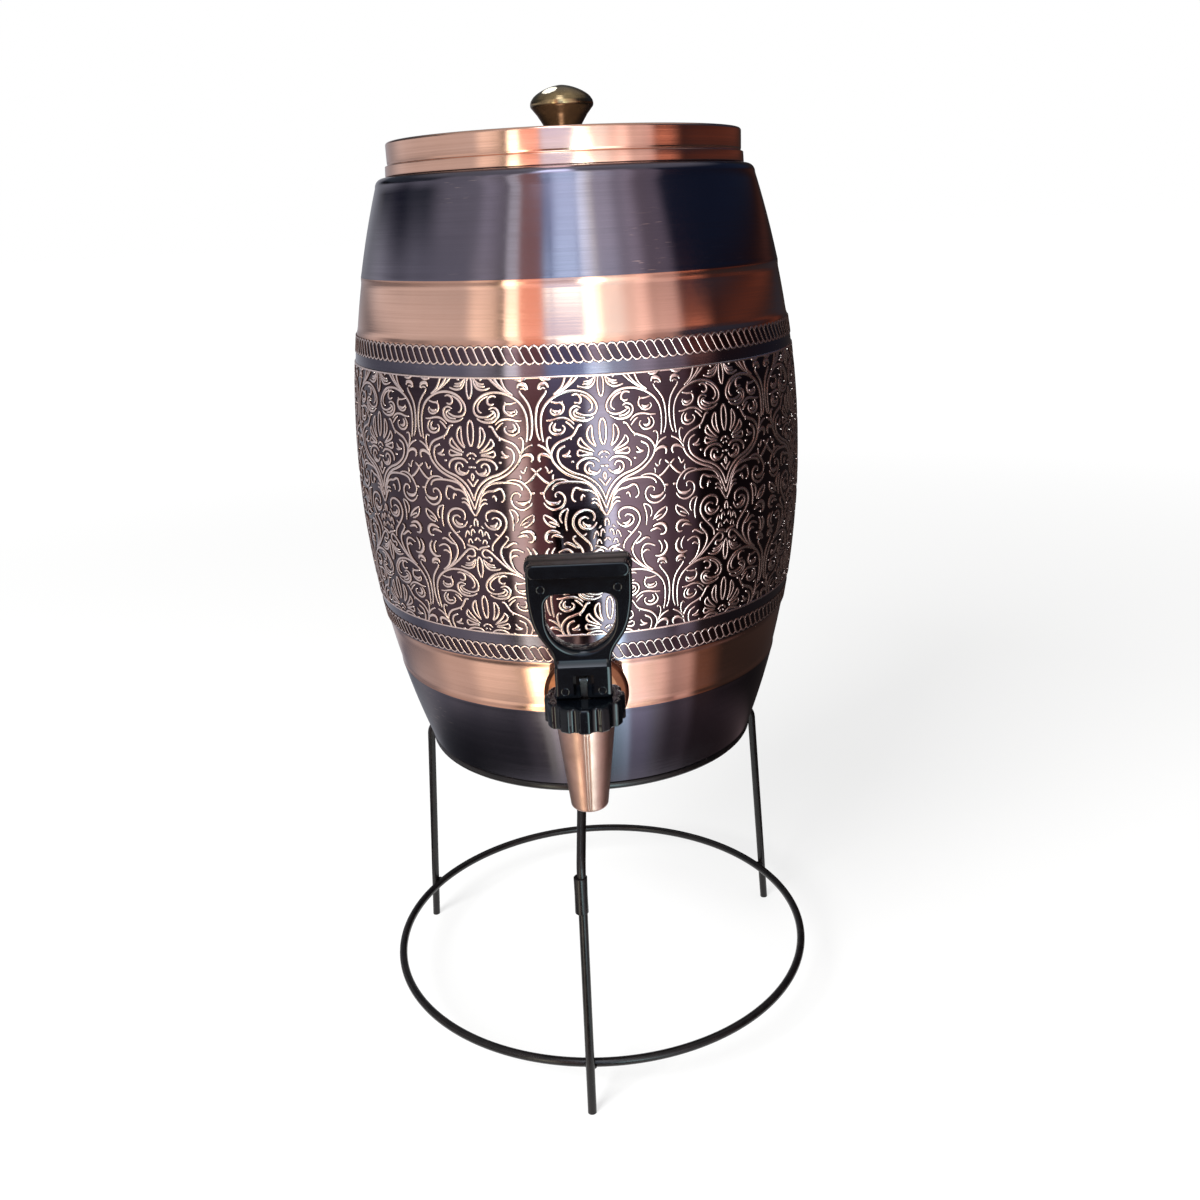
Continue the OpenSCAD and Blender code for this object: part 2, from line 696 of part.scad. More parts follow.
// The finger hole: round below, with two rounded corners above
module lever_hole() {
    top = lever_h - hole_drop;
    bowl_r = min(hole_w / 2, hole_h - hole_round);
    translate([0, top - hole_h + bowl_r]) circle(bowl_r);
    rounded(-hole_w / 2, top - hole_h + bowl_r - hole_round, hole_w, hole_h - bowl_r + hole_round, hole_round);
}

// Side outline of the lever's foot block, with the round corners that it rocks on
module lever_side() {
    half = block_d / 2;
    rounded(-half, 0, block_d, block_h, cam_round);
    polygon([[-half, block_h / 2], [half, block_h / 2], [half, block_h + 1], [frame_d / 2, block_h + 5],
        [-frame_d / 2, block_h + 5], [-half, block_h + 1]]);
}

module lever() {
    slot_half = tang_d / 2 + 0.3;
    color(black) at_spout() translate([0, 0, lever_z]) difference() {
        union() {
            translate([0, frame_d / 2, 0]) rotate([90, 0, 0]) linear_extrude(frame_d) difference() {
                lever_front();
                translate([-block_w, -1]) square([2 * block_w, block_h / 2]);
            }
            rotate([90, 0, 90]) translate([0, 0, -block_w / 2]) linear_extrude(block_w) lever_side();
            translate([0, grip_back, 0]) rotate([90, 0, 0]) linear_extrude(grip_d)
                rounded(-lever_w / 2, lever_h - grip_h, lever_w, grip_h, grip_h / 2 - 0.1);
        }
        translate([-tang_t / 2 - tang_fit, -block_d, -1])
            cube([tang_t + 2 * tang_fit, block_d + slot_half, pin_up + slot_half + 1]);
        translate([-block_w, 0, pin_up]) rotate([0, 90, 0]) cylinder(r = pin_r + pin_fit, h = 2 * block_w);
        for (s = [-1, 1]) translate([s * groove_x - groove_w / 2, -block_d / 2 - 1, cam_round])
            cube([groove_w, groove_d + 1, block_h - 2.5 - cam_round]);
    }
}

stand_top_ring();
stand_base_ring();
leg_front();
leg_front_stub();
leg_sleeve();
leg_left();
leg_right();
barrel_shell();
base_plate();
mouth_neck();
lid_cap();
lid_knob();
knob_washer();
knob_screw();
tap_escutcheon();
outer_gasket();
inner_gasket();
shank_nut();
tap_body();
bonnet_cap();
valve_stem();
seat_cup();
return_spring();
lever_pin();
lever();
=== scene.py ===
"""Looks of a copper water dispenser: a barrel with an engraved panel, a lid, a lever tap and a wire
stand."""

import math

import bmesh
import bpy
import numpy as np
from bpy.props import FloatProperty, FloatVectorProperty, IntProperty, PointerProperty
from mathutils import Matrix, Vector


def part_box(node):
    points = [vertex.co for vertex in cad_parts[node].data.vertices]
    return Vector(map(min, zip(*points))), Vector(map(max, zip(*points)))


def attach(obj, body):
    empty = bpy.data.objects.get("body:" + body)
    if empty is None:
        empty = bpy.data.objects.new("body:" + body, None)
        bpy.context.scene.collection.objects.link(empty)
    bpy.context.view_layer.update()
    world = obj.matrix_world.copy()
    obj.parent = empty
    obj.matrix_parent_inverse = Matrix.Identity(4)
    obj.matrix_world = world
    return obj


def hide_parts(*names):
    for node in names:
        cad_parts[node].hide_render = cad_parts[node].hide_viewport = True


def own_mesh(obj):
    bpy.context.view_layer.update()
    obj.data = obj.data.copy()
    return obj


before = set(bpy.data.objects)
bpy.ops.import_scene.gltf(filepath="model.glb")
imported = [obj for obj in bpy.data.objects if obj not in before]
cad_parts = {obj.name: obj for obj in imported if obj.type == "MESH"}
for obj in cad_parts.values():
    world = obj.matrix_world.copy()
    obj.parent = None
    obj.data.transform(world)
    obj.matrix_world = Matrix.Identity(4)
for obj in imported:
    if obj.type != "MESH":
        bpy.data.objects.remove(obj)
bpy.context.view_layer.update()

bl_info = {
    "name": "Copper Water Dispenser",
    "version": (1, 0, 0),
    "blender": (4, 5, 0),
    "location": "3D View > Sidebar > Dispenser",
    "description": "Builds the looks of a copper barrel dispenser around its solids",
    "category": "Add Mesh",
}

MM = 0.001
TAU = 2 * math.pi
SAME_POINT = 2e-6
NO_LENGTH = 1e-7
TINY = 1e-9
BARREL_SIDES = 320
LID_SIDES = 288
WIRE_RING_SIDES = 240
KNOB_SIDES = 160


def linear(hex_code):
    """An sRGB hex colour as linear red, green, blue: the usual curve, a straight foot and a power of
    2.4."""
    part = np.array([int(hex_code[i:i + 2], 16) for i in (1, 3, 5)]) / 255
    low = part / 12.92
    high = ((part + 0.055) / 1.055) ** 2.4
    return tuple(float(v) for v in np.where(part <= 0.04045, low, high))


def length(name, words, millimetres):
    """A size property in metres from a default in millimetres."""
    return FloatProperty(name=name, description=words, default=millimetres * MM, unit="LENGTH", precision=5)


def tint(name, words, hex_code):
    """A colour property from an sRGB hex default."""
    return FloatVectorProperty(name=name, description=words, default=linear(hex_code), size=3,
                               subtype="COLOR", min=0, max=1)


def top_of(node):
    """Height of a solid's top in millimetres."""
    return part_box(node)[1].z / MM


def foot_of(node):
    """Height of a solid's foot in millimetres."""
    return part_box(node)[0].z / MM


# Properties


class DispenserSizes(bpy.types.PropertyGroup):
    base_z: length("Base height", "Height of the barrel's base above the floor", foot_of("barrel_shell"))
    barrel_h: length("Barrel height", "Height of the barrel",
                     top_of("barrel_shell") - foot_of("barrel_shell"))
    belly_r: length("Belly radius", "Largest radius of the barrel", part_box("barrel_shell")[1].x / MM)
    belly_h: length("Belly height", "Height of the widest place above the base", 135.6)
    bow_r: length("Bow radius", "Radius of the barrel's bowed side", 415)
    wall: length("Wall", "Thickness of the sheet", 1.2)
    shoulder: length("Shoulder", "Rounding of the barrel's shoulder", 4)
    band_w: length("Band width", "Width of the two copper bands", 25)
    band_depth: length("Band depth", "Depth of the rolled channels", 0.42)
    lower_band: length("Lower band", "Height of the lower band above the base", 41)
    upper_band: length("Upper band", "Height of the upper band above the base", 199.4)
    panel_low: length("Panel foot", "Height of the engraved panel's lower line", 234.7)
    panel_high: length("Panel top", "Height of the engraved panel's upper line", 342.8)
    rope_low: length("Lower rope", "Height of the lower rope border's foot", 222.3)
    rope_high: length("Upper rope", "Height of the upper rope border's foot", 347.9)
    rope_w: length("Rope width", "Width of the rope borders", 7)
    relief: length("Relief", "Height of the engraved lines above the ground", 0.34)
    repeats: IntProperty(name="Repeats", description="Repeats of the ornament round the barrel", default=12,
                         min=6)
    repeat_turn: FloatProperty(name="Ornament turn", description="Turn of the ornament round the barrel",
                               default=math.radians(6.4), subtype="ANGLE")
    wire_d: length("Wire", "Diameter of the stand's wire", 4.2)


class DispenserColours(bpy.types.PropertyGroup):
    dark: tint("Oxidised copper", "Dark oxidised copper of the barrel", "#7a7481")
    copper: tint("Brushed copper", "Bright brushed copper of the bands and the lid", "#efc2ac")
    line: tint("Relief copper", "Copper worn bright on the raised lines", "#ffe9e0")
    brass: tint("Aged brass", "Turned brass of the knob", "#a8906a")
    nozzle: tint("Copper plating", "Copper plating of the nozzle", "#bd998c")
    plastic: tint("Black plastic", "Moulded black plastic of the lever and the bonnet", "#04060a")
    paint: tint("Black paint", "Gloss paint on the stand's wire", "#0e0c0c")
    floor: tint("Floor", "Pale floor", "#f1f1f0")


# Meshes from grids


def quads_of(rows, columns, wrap_rows=False, wrap_columns=False):
    """Quads between neighbouring rows and columns of a grid, closed on itself where it wraps."""
    index = np.arange(rows * columns).reshape(rows, columns)
    if wrap_rows:
        index = np.vstack([index, index[:1]])
    if wrap_columns:
        index = np.hstack([index, index[:, :1]])
    return np.stack([index[:-1, :-1], index[1:, :-1], index[1:, 1:], index[:-1, 1:]], -1).reshape(-1, 4)


def grid(points, wrap_rows=False, wrap_columns=False, zone=0):
    """A grid of points as a part: its points, its quads and a finish number for each quad."""
    quads = quads_of(points.shape[0], points.shape[1], wrap_rows, wrap_columns)
    return points.reshape(-1, 3), quads, np.broadcast_to(zone, len(quads))


def facing_out(points, quads):
    """Quads turned so that a closed part's volume, the sum of its corners' triple products, is positive."""
    a, b, c, d = (points[quads[:, k]] for k in range(4))
    volume = np.einsum("ij,ij->i", a, np.cross(b, c) + np.cross(c, d)).sum()
    return quads if volume >= 0 else quads[:, ::-1]


def closed(points, wrap_rows=False, wrap_columns=False, zone=0):
    """A grid whose open ends are pinched shut: a closed part with its faces outwards."""
    part, quads, zones = grid(points, wrap_rows, wrap_columns, zone)
    return part, facing_out(part, quads), zones


def looped(points):
    """A closed part from a grid whose rows and columns both run back into themselves."""
    return closed(points, wrap_rows=True, wrap_columns=True)


def make_piece(name, parts, finishes, body, stands_for=(), crease=None):
    """One object from grid parts, with its finishes, riding on a body. Corners that coincide, as at a pole
    or a pinched end, are merged. Edges sharper than crease degrees stay sharp."""
    start = np.cumsum([0] + [len(p[0]) for p in parts[:-1]])
    points = np.concatenate([p[0] for p in parts]) * MM
    quads = np.concatenate([p[1] + s for p, s in zip(parts, start)])
    zones = np.concatenate([p[2] for p in parts]).astype(np.int32)
    mesh = bpy.data.meshes.new(name)
    mesh.vertices.add(len(points))
    mesh.vertices.foreach_set("co", points.astype(np.float32).ravel())
    mesh.loops.add(quads.size)
    mesh.loops.foreach_set("vertex_index", quads.astype(np.int32).ravel())
    mesh.polygons.add(len(quads))
    mesh.polygons.foreach_set("loop_start", np.arange(0, quads.size, 4, dtype=np.int32))
    for material in finishes:
        mesh.materials.append(material)
    mesh.polygons.foreach_set("material_index", zones)
    mesh.update(calc_edges=True)
    merge_corners(mesh)
    mesh.polygons.foreach_set("use_smooth", np.ones(len(mesh.polygons), bool))
    if crease is not None:
        mesh.set_sharp_from_angle(angle=math.radians(crease))
    piece = bpy.data.objects.new(name, mesh)
    bpy.context.scene.collection.objects.link(piece)
    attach(piece, body)
    if stands_for:
        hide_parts(*stands_for)
    return piece


def merge_corners(mesh):
    """Merges corners that lie within two thousandths of a millimetre, and drops the faces that this leaves
    empty."""
    made = bmesh.new()
    made.from_mesh(mesh)
    bmesh.ops.remove_doubles(made, verts=made.verts, dist=SAME_POINT)
    bmesh.ops.dissolve_degenerate(made, edges=made.edges, dist=NO_LENGTH)
    made.to_mesh(mesh)
    made.free()


def full_turn(count):
    """Even angles round a circle."""
    return TAU * np.arange(count) / count


def around(r, angle, h, axis_y=0.0):
    """Points on circles about the upright line at y, from the front to the right: x = r sin a, y - r cos a,
    z = h."""
    return np.stack([r * np.sin(angle), axis_y - r * np.cos(angle), h + 0 * angle], -1)


def eased(t):
    """A smooth step from nought to one: 3 t^2 - 2 t^3."""
    return t * t * (3 - 2 * t)


def turned(profile, count, zone=0, ring=False):
    """A profile of [radius, height] points turned about the upright axis. A ring's profile is closed on
    itself."""
    zone = np.repeat(zone, count) if np.ndim(zone) else zone
    return closed(around(profile[:, :1], full_turn(count), profile[:, 1:]), ring, True, zone)


def turned_shank(profile, axis_z, count=96):
    """A closed profile of [radius, y] points turned about the shank's line: x = r sin a, y, z = axis + r
    cos a."""
    angle = full_turn(count)
    r, y = profile[:, :1], profile[:, 1:]
    return looped(np.stack([r * np.sin(angle), y + 0 * angle, axis_z + r * np.cos(angle)], -1))


def rounded_profile(points, radii, steps=5):
    """A closed outline of straight runs with each corner rounded by its radius: an arc that touches both
    runs."""
    points = np.asarray(points, float)
    before = np.roll(points, 1, 0) - points
    after = np.roll(points, -1, 0) - points
    len_b = np.linalg.norm(before, axis=1, keepdims=True)
    len_a = np.linalg.norm(after, axis=1, keepdims=True)
    before, after = before / len_b, after / len_a
    half = np.arccos(np.clip((before * after).sum(1), -1, 1)) / 2
    radius = np.minimum(np.broadcast_to(np.asarray(radii, float), half.shape),
                        0.49 * np.minimum(len_a, len_b)[:, 0] * np.tan(half))
    bisector = before + after
    norm = np.linalg.norm(bisector, axis=1, keepdims=True)
    bisector = np.where(norm > TINY, bisector / np.maximum(norm, TINY), 0)
    middle = points + bisector * (radius / np.sin(half))[:, None]
    first = points + before * (radius / np.tan(half))[:, None] - middle
    last = points + after * (radius / np.tan(half))[:, None] - middle
    t = np.linspace(0, 1, steps)[None, :, None]
    arc = first[:, None] * (1 - t) + last[:, None] * t
    size = np.linalg.norm(arc, axis=2, keepdims=True)
    arc = arc / np.maximum(size, TINY) * radius[:, None, None]
    return (middle[:, None] + arc).reshape(-1, 2)


def smooth_path(points, step):
    """A smooth line through points: cubic pieces whose slope at a point is the chord between its
    neighbours, read off at even steps of length."""
    points = np.asarray(points, float)
    ends = np.concatenate([2 * points[:1] - points[1:2], points, 2 * points[-1:] - points[-2:-1]])
    t = np.linspace(0, 1, 9)[:-1][None, :, None]
    a, b, c, d = (ends[k:len(ends) - 3 + k][:, None] for k in range(4))
    bend = 0.5 * (2 * b + (c - a) * t + (2 * a - 5 * b + 4 * c - d) * t ** 2
                  + (3 * b - a - 3 * c + d) * t ** 3)
    fine = np.concatenate([bend.reshape(-1, points.shape[1]), points[-1:]])
    run = np.concatenate([[0], np.cumsum(np.linalg.norm(np.diff(fine, axis=0), axis=1))])
    count = max(3, int(round(run[-1] / step)) + 1)
    at = np.linspace(0, run[-1], count)
    return np.stack([np.interp(at, run, fine[:, k]) for k in range(points.shape[1])], -1), at


def pinched(rings):
    """Rings of points, closed at both ends by a point in the middle of the end ring."""
    first = np.broadcast_to(rings[:1].mean(1, keepdims=True), rings[:1].shape)
    last = np.broadcast_to(rings[-1:].mean(1, keepdims=True), rings[-1:].shape)
    return closed(np.concatenate([first, rings, last]), wrap_columns=True)


def tube(path, radius, across, sides=24):
    """A round wire along a path that lies in a plane: a circle in each cross plane, spanned by the plane's
    normal and the cross product of that with the path's direction. Each end is closed by a point."""
    path = np.asarray(path, float)
    along = np.gradient(path, axis=0)
    along /= np.linalg.norm(along, axis=1, keepdims=True)
    across = np.broadcast_to(np.asarray(across, float), along.shape)
    third = np.cross(along, across)
    turn = full_turn(sides)
    size = np.broadcast_to(np.asarray(radius, float), len(path))[:, None, None]
    ring = across[:, None] * np.cos(turn)[None, :, None] + third[:, None] * np.sin(turn)[None, :, None]
    return pinched(path[:, None] + ring * size)


def bead(middle, half, axes):
    """A rounded bead: a ball drawn out by its half sizes along three axes."""
    down = np.linspace(0, math.pi, 9)[:, None]
    turn = full_turn(16)[None, :]
    ball = np.stack([np.sin(down) * np.cos(turn), np.sin(down) * np.sin(turn), np.cos(down) + 0 * turn], -1)
    return closed(np.asarray(middle, float) + (ball * half) @ np.asarray(axes, float), wrap_columns=True)


# Finishes


# Sizes of the patterns in millimetres: the run of a grit line, clouds of tarnish, patches of scratches, a
# scratch's length and thickness, and the grain of the floor's paper
GRIT_RUN = 166.67
CLOUD = 45.45
PATCH = 47.62
SCRATCH_LONG = 6.667
SCRATCH_THIN = 0.4545
PAPER_GRAIN = 1.111


def per(size):
    """A pattern's scale from its size in millimetres."""
    return 1 / (size * MM)


def feed(tree, node, inputs):
    """Feeds a node's inputs, given in order or by name. A socket is linked, a node is linked by its first
    output, and a constant is set. A colour's alpha is one."""
    for name, source in (inputs.items() if isinstance(inputs, dict) else enumerate(inputs)):
        socket = node.inputs[name]
        if isinstance(source, bpy.types.Node):
            source = source.outputs[0]
        if isinstance(source, bpy.types.NodeSocket):
            tree.links.new(source, socket)
        else:
            socket.default_value = (*source, 1) if socket.type == "RGBA" else source


def add(tree, kind, inputs=(), **settings):
    """Adds a node with its settings and what feeds it."""
    node = tree.nodes.new("ShaderNode" + kind)
    for name, value in settings.items():
        setattr(node, name, value)
    feed(tree, node, inputs)
    return node


def empty_finish(name, **values):
    """A finish with only its shader: the values are the shader's own sockets."""
    material = bpy.data.materials.new(name)
    material.use_nodes = True
    tree = material.node_tree
    tree.nodes.clear()
    shader = add(tree, "BsdfPrincipled", {k.replace("_", " "): v for k, v in values.items()})
    add(tree, "OutputMaterial", {"Surface": shader})
    place = add(tree, "TexCoord").outputs["Object"]
    return material, tree, shader, place


def surface(tree, shader, colour, gloss, height, bump_share):
    """Feeds a shader its colour, its gloss and a bump of a fifth of a millimetre."""
    bump = add(tree, "Bump", {"Strength": bump_share, "Distance": 0.2 * MM, "Height": height})
    feed(tree, shader, {"Base Color": colour, "Roughness": gloss, "Normal": bump})


def brushed(name, colour, shade, roughness, line_gap, painted_foot_shade=0.0, bands=(), scratch=None):
    """Metal brushed round its axis: grit lines a few tenths of a millimetre apart, drawn long round the
    axis and short along it, streak the colour, the gloss and the bump; slow clouds of tarnish lie over
    them. A painted foot shade darkens the metal towards its foot, standing in for the dark floor that it
    reflects, and bands are browned outside their middles. Scratches are tilted sheets of noise under a
    millimetre thick, kept only inside a few patches."""
    material, tree, shader, place = empty_finish(name, Metallic=1.0, Anisotropic=0.8,
                                                 Anisotropic_Rotation=0.25)
    drawn = {"Vector": place, "Scale": (per(GRIT_RUN), per(GRIT_RUN), per(line_gap))}
    lines = add(tree, "Mapping", drawn)
    grit = add(tree, "TexNoise", {"Vector": lines, "Scale": 1.0, "Detail": 3.0, "Roughness": 0.6})
    clouds = add(tree, "TexNoise", {"Vector": place, "Scale": per(CLOUD), "Detail": 4.0, "Roughness": 0.55})
    tarnish = add(tree, "MapRange", (clouds, 0.35, 0.72))
    streak = add(tree, "MapRange", (grit, 0.3, 0.7, 0.0, 0.22))
    dulled = add(tree, "Math", (tarnish, 0.4, streak), operation="MULTIPLY_ADD")
    now = add(tree, "Mix", {0: dulled, 6: colour, 7: shade}, data_type="RGBA").outputs[2]
    height = add(tree, "SeparateXYZ", [place]).outputs[2]
    # Painted shade: towards the foot the colour is darkened, standing in for the dark floor that the lower
    # barrel reflects
    if painted_foot_shade:
        low = add(tree, "MapRange", (height, 165 * MM, 235 * MM, painted_foot_shade, 0.0))
        now = add(tree, "Mix", {0: low, 6: now, 7: 0.35 * shade}, data_type="RGBA").outputs[2]
    if bands:
        off = [add(tree, "Math", (height, middle), operation="SUBTRACT") for middle in bands]
        away = [add(tree, "Math", [one], operation="ABSOLUTE") for one in off]
        nearest = add(tree, "Math", away, operation="MINIMUM")
        edge = add(tree, "MapRange", (nearest, 9.8 * MM, 12.5 * MM, 0.0, 0.4))
        now = add(tree, "Mix", {0: edge, 6: now, 7: linear("#a5674d")}, data_type="RGBA").outputs[2]
    if scratch:
        thin = (per(SCRATCH_LONG), per(SCRATCH_LONG), per(SCRATCH_THIN))
        tilted = add(tree, "Mapping", {"Vector": place, "Rotation": (1.1, 0.5, 0.3), "Scale": thin})
        sheets = add(tree, "TexNoise", {"Vector": tilted, "Scale": 1.0, "Detail": 1.0})
        cut = add(tree, "MapRange", (sheets, 0.67, 0.75))
        spots = add(tree, "TexNoise", {"Vector": place, "Scale": per(PATCH), "Detail": 1.0})
        patch = add(tree, "MapRange", (spots, 0.57, 0.66, 0.0, 0.5))
        share = add(tree, "Math", (cut, patch), operation="MULTIPLY")
        now = add(tree, "Mix", {0: share, 6: now, 7: linear(scratch)}, data_type="RGBA").outputs[2]
    gloss = add(tree, "MapRange", (grit, 0.25, 0.75, roughness - 0.03, roughness + 0.05))
    surface(tree, shader, now, gloss, grit, 0.07)
    feed(tree, shader, {"Tangent": add(tree, "Tangent", direction_type="RADIAL", axis="Z")})
    return material


def worn(name, colour, dirt, roughness, grain, metallic=1.0, bump_share=0.1, spread=0.16, specular=0.5):
    """A plain finish with fine wear: noise with a grain in millimetres moves the colour towards dirt, and
    the gloss and the bump with it."""
    material, tree, shader, place = empty_finish(name, Metallic=metallic, Specular_IOR_Level=specular)
    fine = add(tree, "TexNoise", {"Vector": place, "Scale": per(grain), "Detail": 4.0, "Roughness": 0.6})
    wear = add(tree, "MapRange", (fine, 0.4, 0.75, 0.0, 0.7))
    now = add(tree, "Mix", {0: wear, 6: colour, 7: dirt}, data_type="RGBA").outputs[2]
    gloss = add(tree, "MapRange", (fine, 0.3, 0.75, roughness, roughness + spread))
    surface(tree, shader, now, gloss, fine, bump_share)
    return material


# Brushed metals: the colour's property and its share, the shade's share of that, roughness, gap of the grit
# lines in millimetres, and what is added
COPPER_SHADE = (0.86, 0.78, 0.72)
BRUSHED = {
    # Copper darkened by oxidation: blue-black with a satin gloss, scratched here and there, and browner and
    # darker towards the foot as painted shade for the dark floor that it reflects
    "oxidised_copper_brushed": ("dark", 1, 0.62, 0.15, 0.6, {"painted_foot_shade": 0.65, "scratch": "#dcc6ba"}),
    # Ground of the engraved panel: the same oxide, left thicker where the lines were masked, so darker and
    # brown
    "oxidised_copper_ground": ("dark", (0.49, 0.365, 0.355), 0.7, 0.12, 0.9, {}),
    # Bare copper brushed round and lacquered: warm, with soft upright highlights
    "copper_brushed": ("copper", 1, COPPER_SHADE, 0.14, 0.7, {}),
    # The same copper in the barrel's two bands, browned along the edges where the polish stops
    "copper_brushed_band": ("copper", 1, COPPER_SHADE, 0.14, 0.7, {"bands": ("lower_band", "upper_band")}),
}

# Plain finishes: the colour or its property, the dirt, roughness, grain in millimetres, and what differs
# from bare metal
PLAIN = {
    # Copper worn bright on raised lines: pale where it is rubbed, pinker where it has dulled
    "relief_copper_rubbed": ("line", "#efcfc2", 0.16, 4, {"spread": 0.1}),
    # Painted shade along the sides of the raised lines: a dull dark brown that outlines them
    "line_sides_painted_shade": ("#4a322a", "#2c1d18", 0.5, 3, {"metallic": 0.6}),
    # Turned brass with a brown film: yellow where it is bright, olive brown where it has dulled
    "brass_turned_aged": ("brass", "#5d4d38", 0.16, 6, {}),
    # The same brass on the foot and the rim's lower part, darkened as painted shade for the dark that it
    # reflects there: darker and duller
    "brass_turned_painted_shade": ("#736750", "#4a4133", 0.16, 4, {"bump_share": 0.05}),
    # The same brass on the small flat, painted near white as a highlight: pale, with a soft gloss
    "brass_painted_highlight": ("#fff8e6", "#efe2c4", 0.3, 4, {"metallic": 0.2}),
    # Copper plating on a moulding: smooth and a little pink, with dull patches
    "copper_plating": ("nozzle", "#9c7c70", 0.28, 9, {"bump_share": 0.01}),
    # The same plating darkened as painted shade for the dark lever that it reflects, polished: dark, with a
    # crisp rim light
    "copper_plating_painted_shade": ("#5c3828", "#3a2319", 0.1, 8, {"bump_share": 0.02}),
    # Moulded plastic in gloss black: smooth, with fine dust that dulls it in patches
    "abs_black_gloss": ("plastic", "#0a0d12", 0.06, 6,
                        {"metallic": 0.0, "bump_share": 0.01, "spread": 0.05, "specular": 0.3}),
    # The same plastic where thumbs have dulled it: black with a soft sheen
    "abs_black_satin": ("#0b0908", "#16110f", 0.34, 3,
                        {"metallic": 0.0, "bump_share": 0.05, "spread": 0.1, "specular": 0.4}),
    # Gloss paint on drawn wire: near black, a little brown, with small runs in the gloss
    "paint_black_gloss": ("paint", "#1d1716", 0.2, 6, {"metallic": 0.0, "spread": 0.1, "specular": 0.35}),
    # Rubber of the gaskets: black and dull
    "rubber_black": ("#1c1c1c", "#2c2a28", 0.5, 3, {"metallic": 0.0}),
    # Nylon of the nut: off-white with a faint gloss
    "nylon_white": ("#e3e0d8", "#cfcabd", 0.35, 4, {"metallic": 0.0}),
    # Silicone of the valve's cup: milky and soft
    "silicone_clear_white": ("#d8d5cc", "#c4bfb2", 0.4, 4, {"metallic": 0.0}),
    # Acetal of the valve's stem: brown-black and smooth
    "acetal_brown_black": ("#1d1a19", "#141211", 0.25, 4, {"metallic": 0.0}),
    # Drawn steel of the spring, the pin and the screw: grey, with a clean gloss
    "steel_drawn": ("#b8babc", "#8b8a88", 0.25, 2, {}),
}
SHARED = {}


def finish(name):
    """A finish by its name in the tables above: made on first use, and shared by every piece that asks for
    it."""
    if name in SHARED:
        return SHARED[name]
    sizes, colours = bpy.context.scene.dispenser_sizes, bpy.context.scene.dispenser_colours
    if name in BRUSHED:
        tint_of, share, shade_share, roughness, line_gap, extra = BRUSHED[name]
        colour = np.array(getattr(colours, tint_of)) * share
        foot = sizes.base_z + sizes.band_w / 2
        extra = {**extra, "bands": [foot + getattr(sizes, band) for band in extra.get("bands", ())]}
        SHARED[name] = brushed(name, colour, colour * shade_share, roughness, line_gap, **extra)
    else:
        colour, dirt, roughness, grain, extra = PLAIN[name]
        colour = linear(colour) if colour.startswith("#") else getattr(colours, colour)
        SHARED[name] = worn(name, colour, linear(dirt), roughness, grain, **extra)
    return SHARED[name]


# Barrel


def bow(sizes, z):
    """Radius of the barrel's side at a height: an arc about the belly."""
    lift = np.asarray(z, float) - (sizes.base_z + sizes.belly_h) / MM
    bow_r = sizes.bow_r / MM
    return sizes.belly_r / MM - bow_r + np.sqrt(bow_r ** 2 - lift ** 2)


def channel(z, low, wide, depth):
    """Depth of a rolled channel at a height: full inside, easing out over its edges, with a low bead along
    each edge and a fine rib inside it."""
    edge_w = 3.2
    bead_out, bead_w, bead_h = 0.5, 1.1, 0.05
    rib_in, rib_w, rib_h = 2.9, 0.4, 0.035
    past_edge = np.abs(z - low - wide / 2) - wide / 2
    ease = eased(np.clip(np.minimum(z - low, low + wide - z) / edge_w, 0, 1))
    edge_bead = np.exp(-((past_edge - bead_out) / bead_w) ** 2)
    rib = np.exp(-((past_edge + rib_in) / rib_w) ** 2)
    return depth * ease - bead_h * edge_bead - rib_h * rib


def rope_spans(sizes):
    """Lowest and highest height of the dark ground under each rope border, in millimetres."""
    inset = 0.2
    feet = (sizes.rope_low, sizes.rope_high)
    return [(foot / MM + inset, (foot + sizes.rope_w) / MM - inset) for foot in feet]


def barrel_profile(sizes):
    """The barrel's outline from its foot to the neck: the bow less its two channels, then the shoulder's
    arc."""
    base, top = sizes.base_z / MM, (sizes.base_z + sizes.barrel_h) / MM
    lower, upper = base + sizes.lower_band / MM, base + sizes.upper_band / MM
    wide, deep, turn = sizes.band_w / MM, sizes.band_depth / MM, sizes.shoulder / MM
    out, into, rows = 2.5, 7, 26
    edges = [np.linspace(low - out, low + into, rows) for low in (lower, upper)]
    edges += [np.linspace(low + wide - into, low + wide + out, rows) for low in (lower, upper)]
    z = np.unique(np.concatenate([
        np.linspace(base, top - turn, 90), *edges,
        [lower, lower + wide, upper, upper + wide, sizes.panel_low / MM, sizes.panel_high / MM],
        np.ravel(rope_spans(sizes)),
    ]).round(4))
    r = bow(sizes, z) - channel(z, lower, wide, deep) - channel(z, upper, wide, deep)
    side = np.stack([r, z], -1)
    a = np.linspace(0.18, math.pi / 2, 9)
    edge_r = bow(sizes, top - turn) - turn
    shoulder = np.stack([edge_r + turn * np.cos(a), top - turn + turn * np.sin(a)], -1)
    return side, shoulder, (lower, lower + wide, upper, upper + wide)


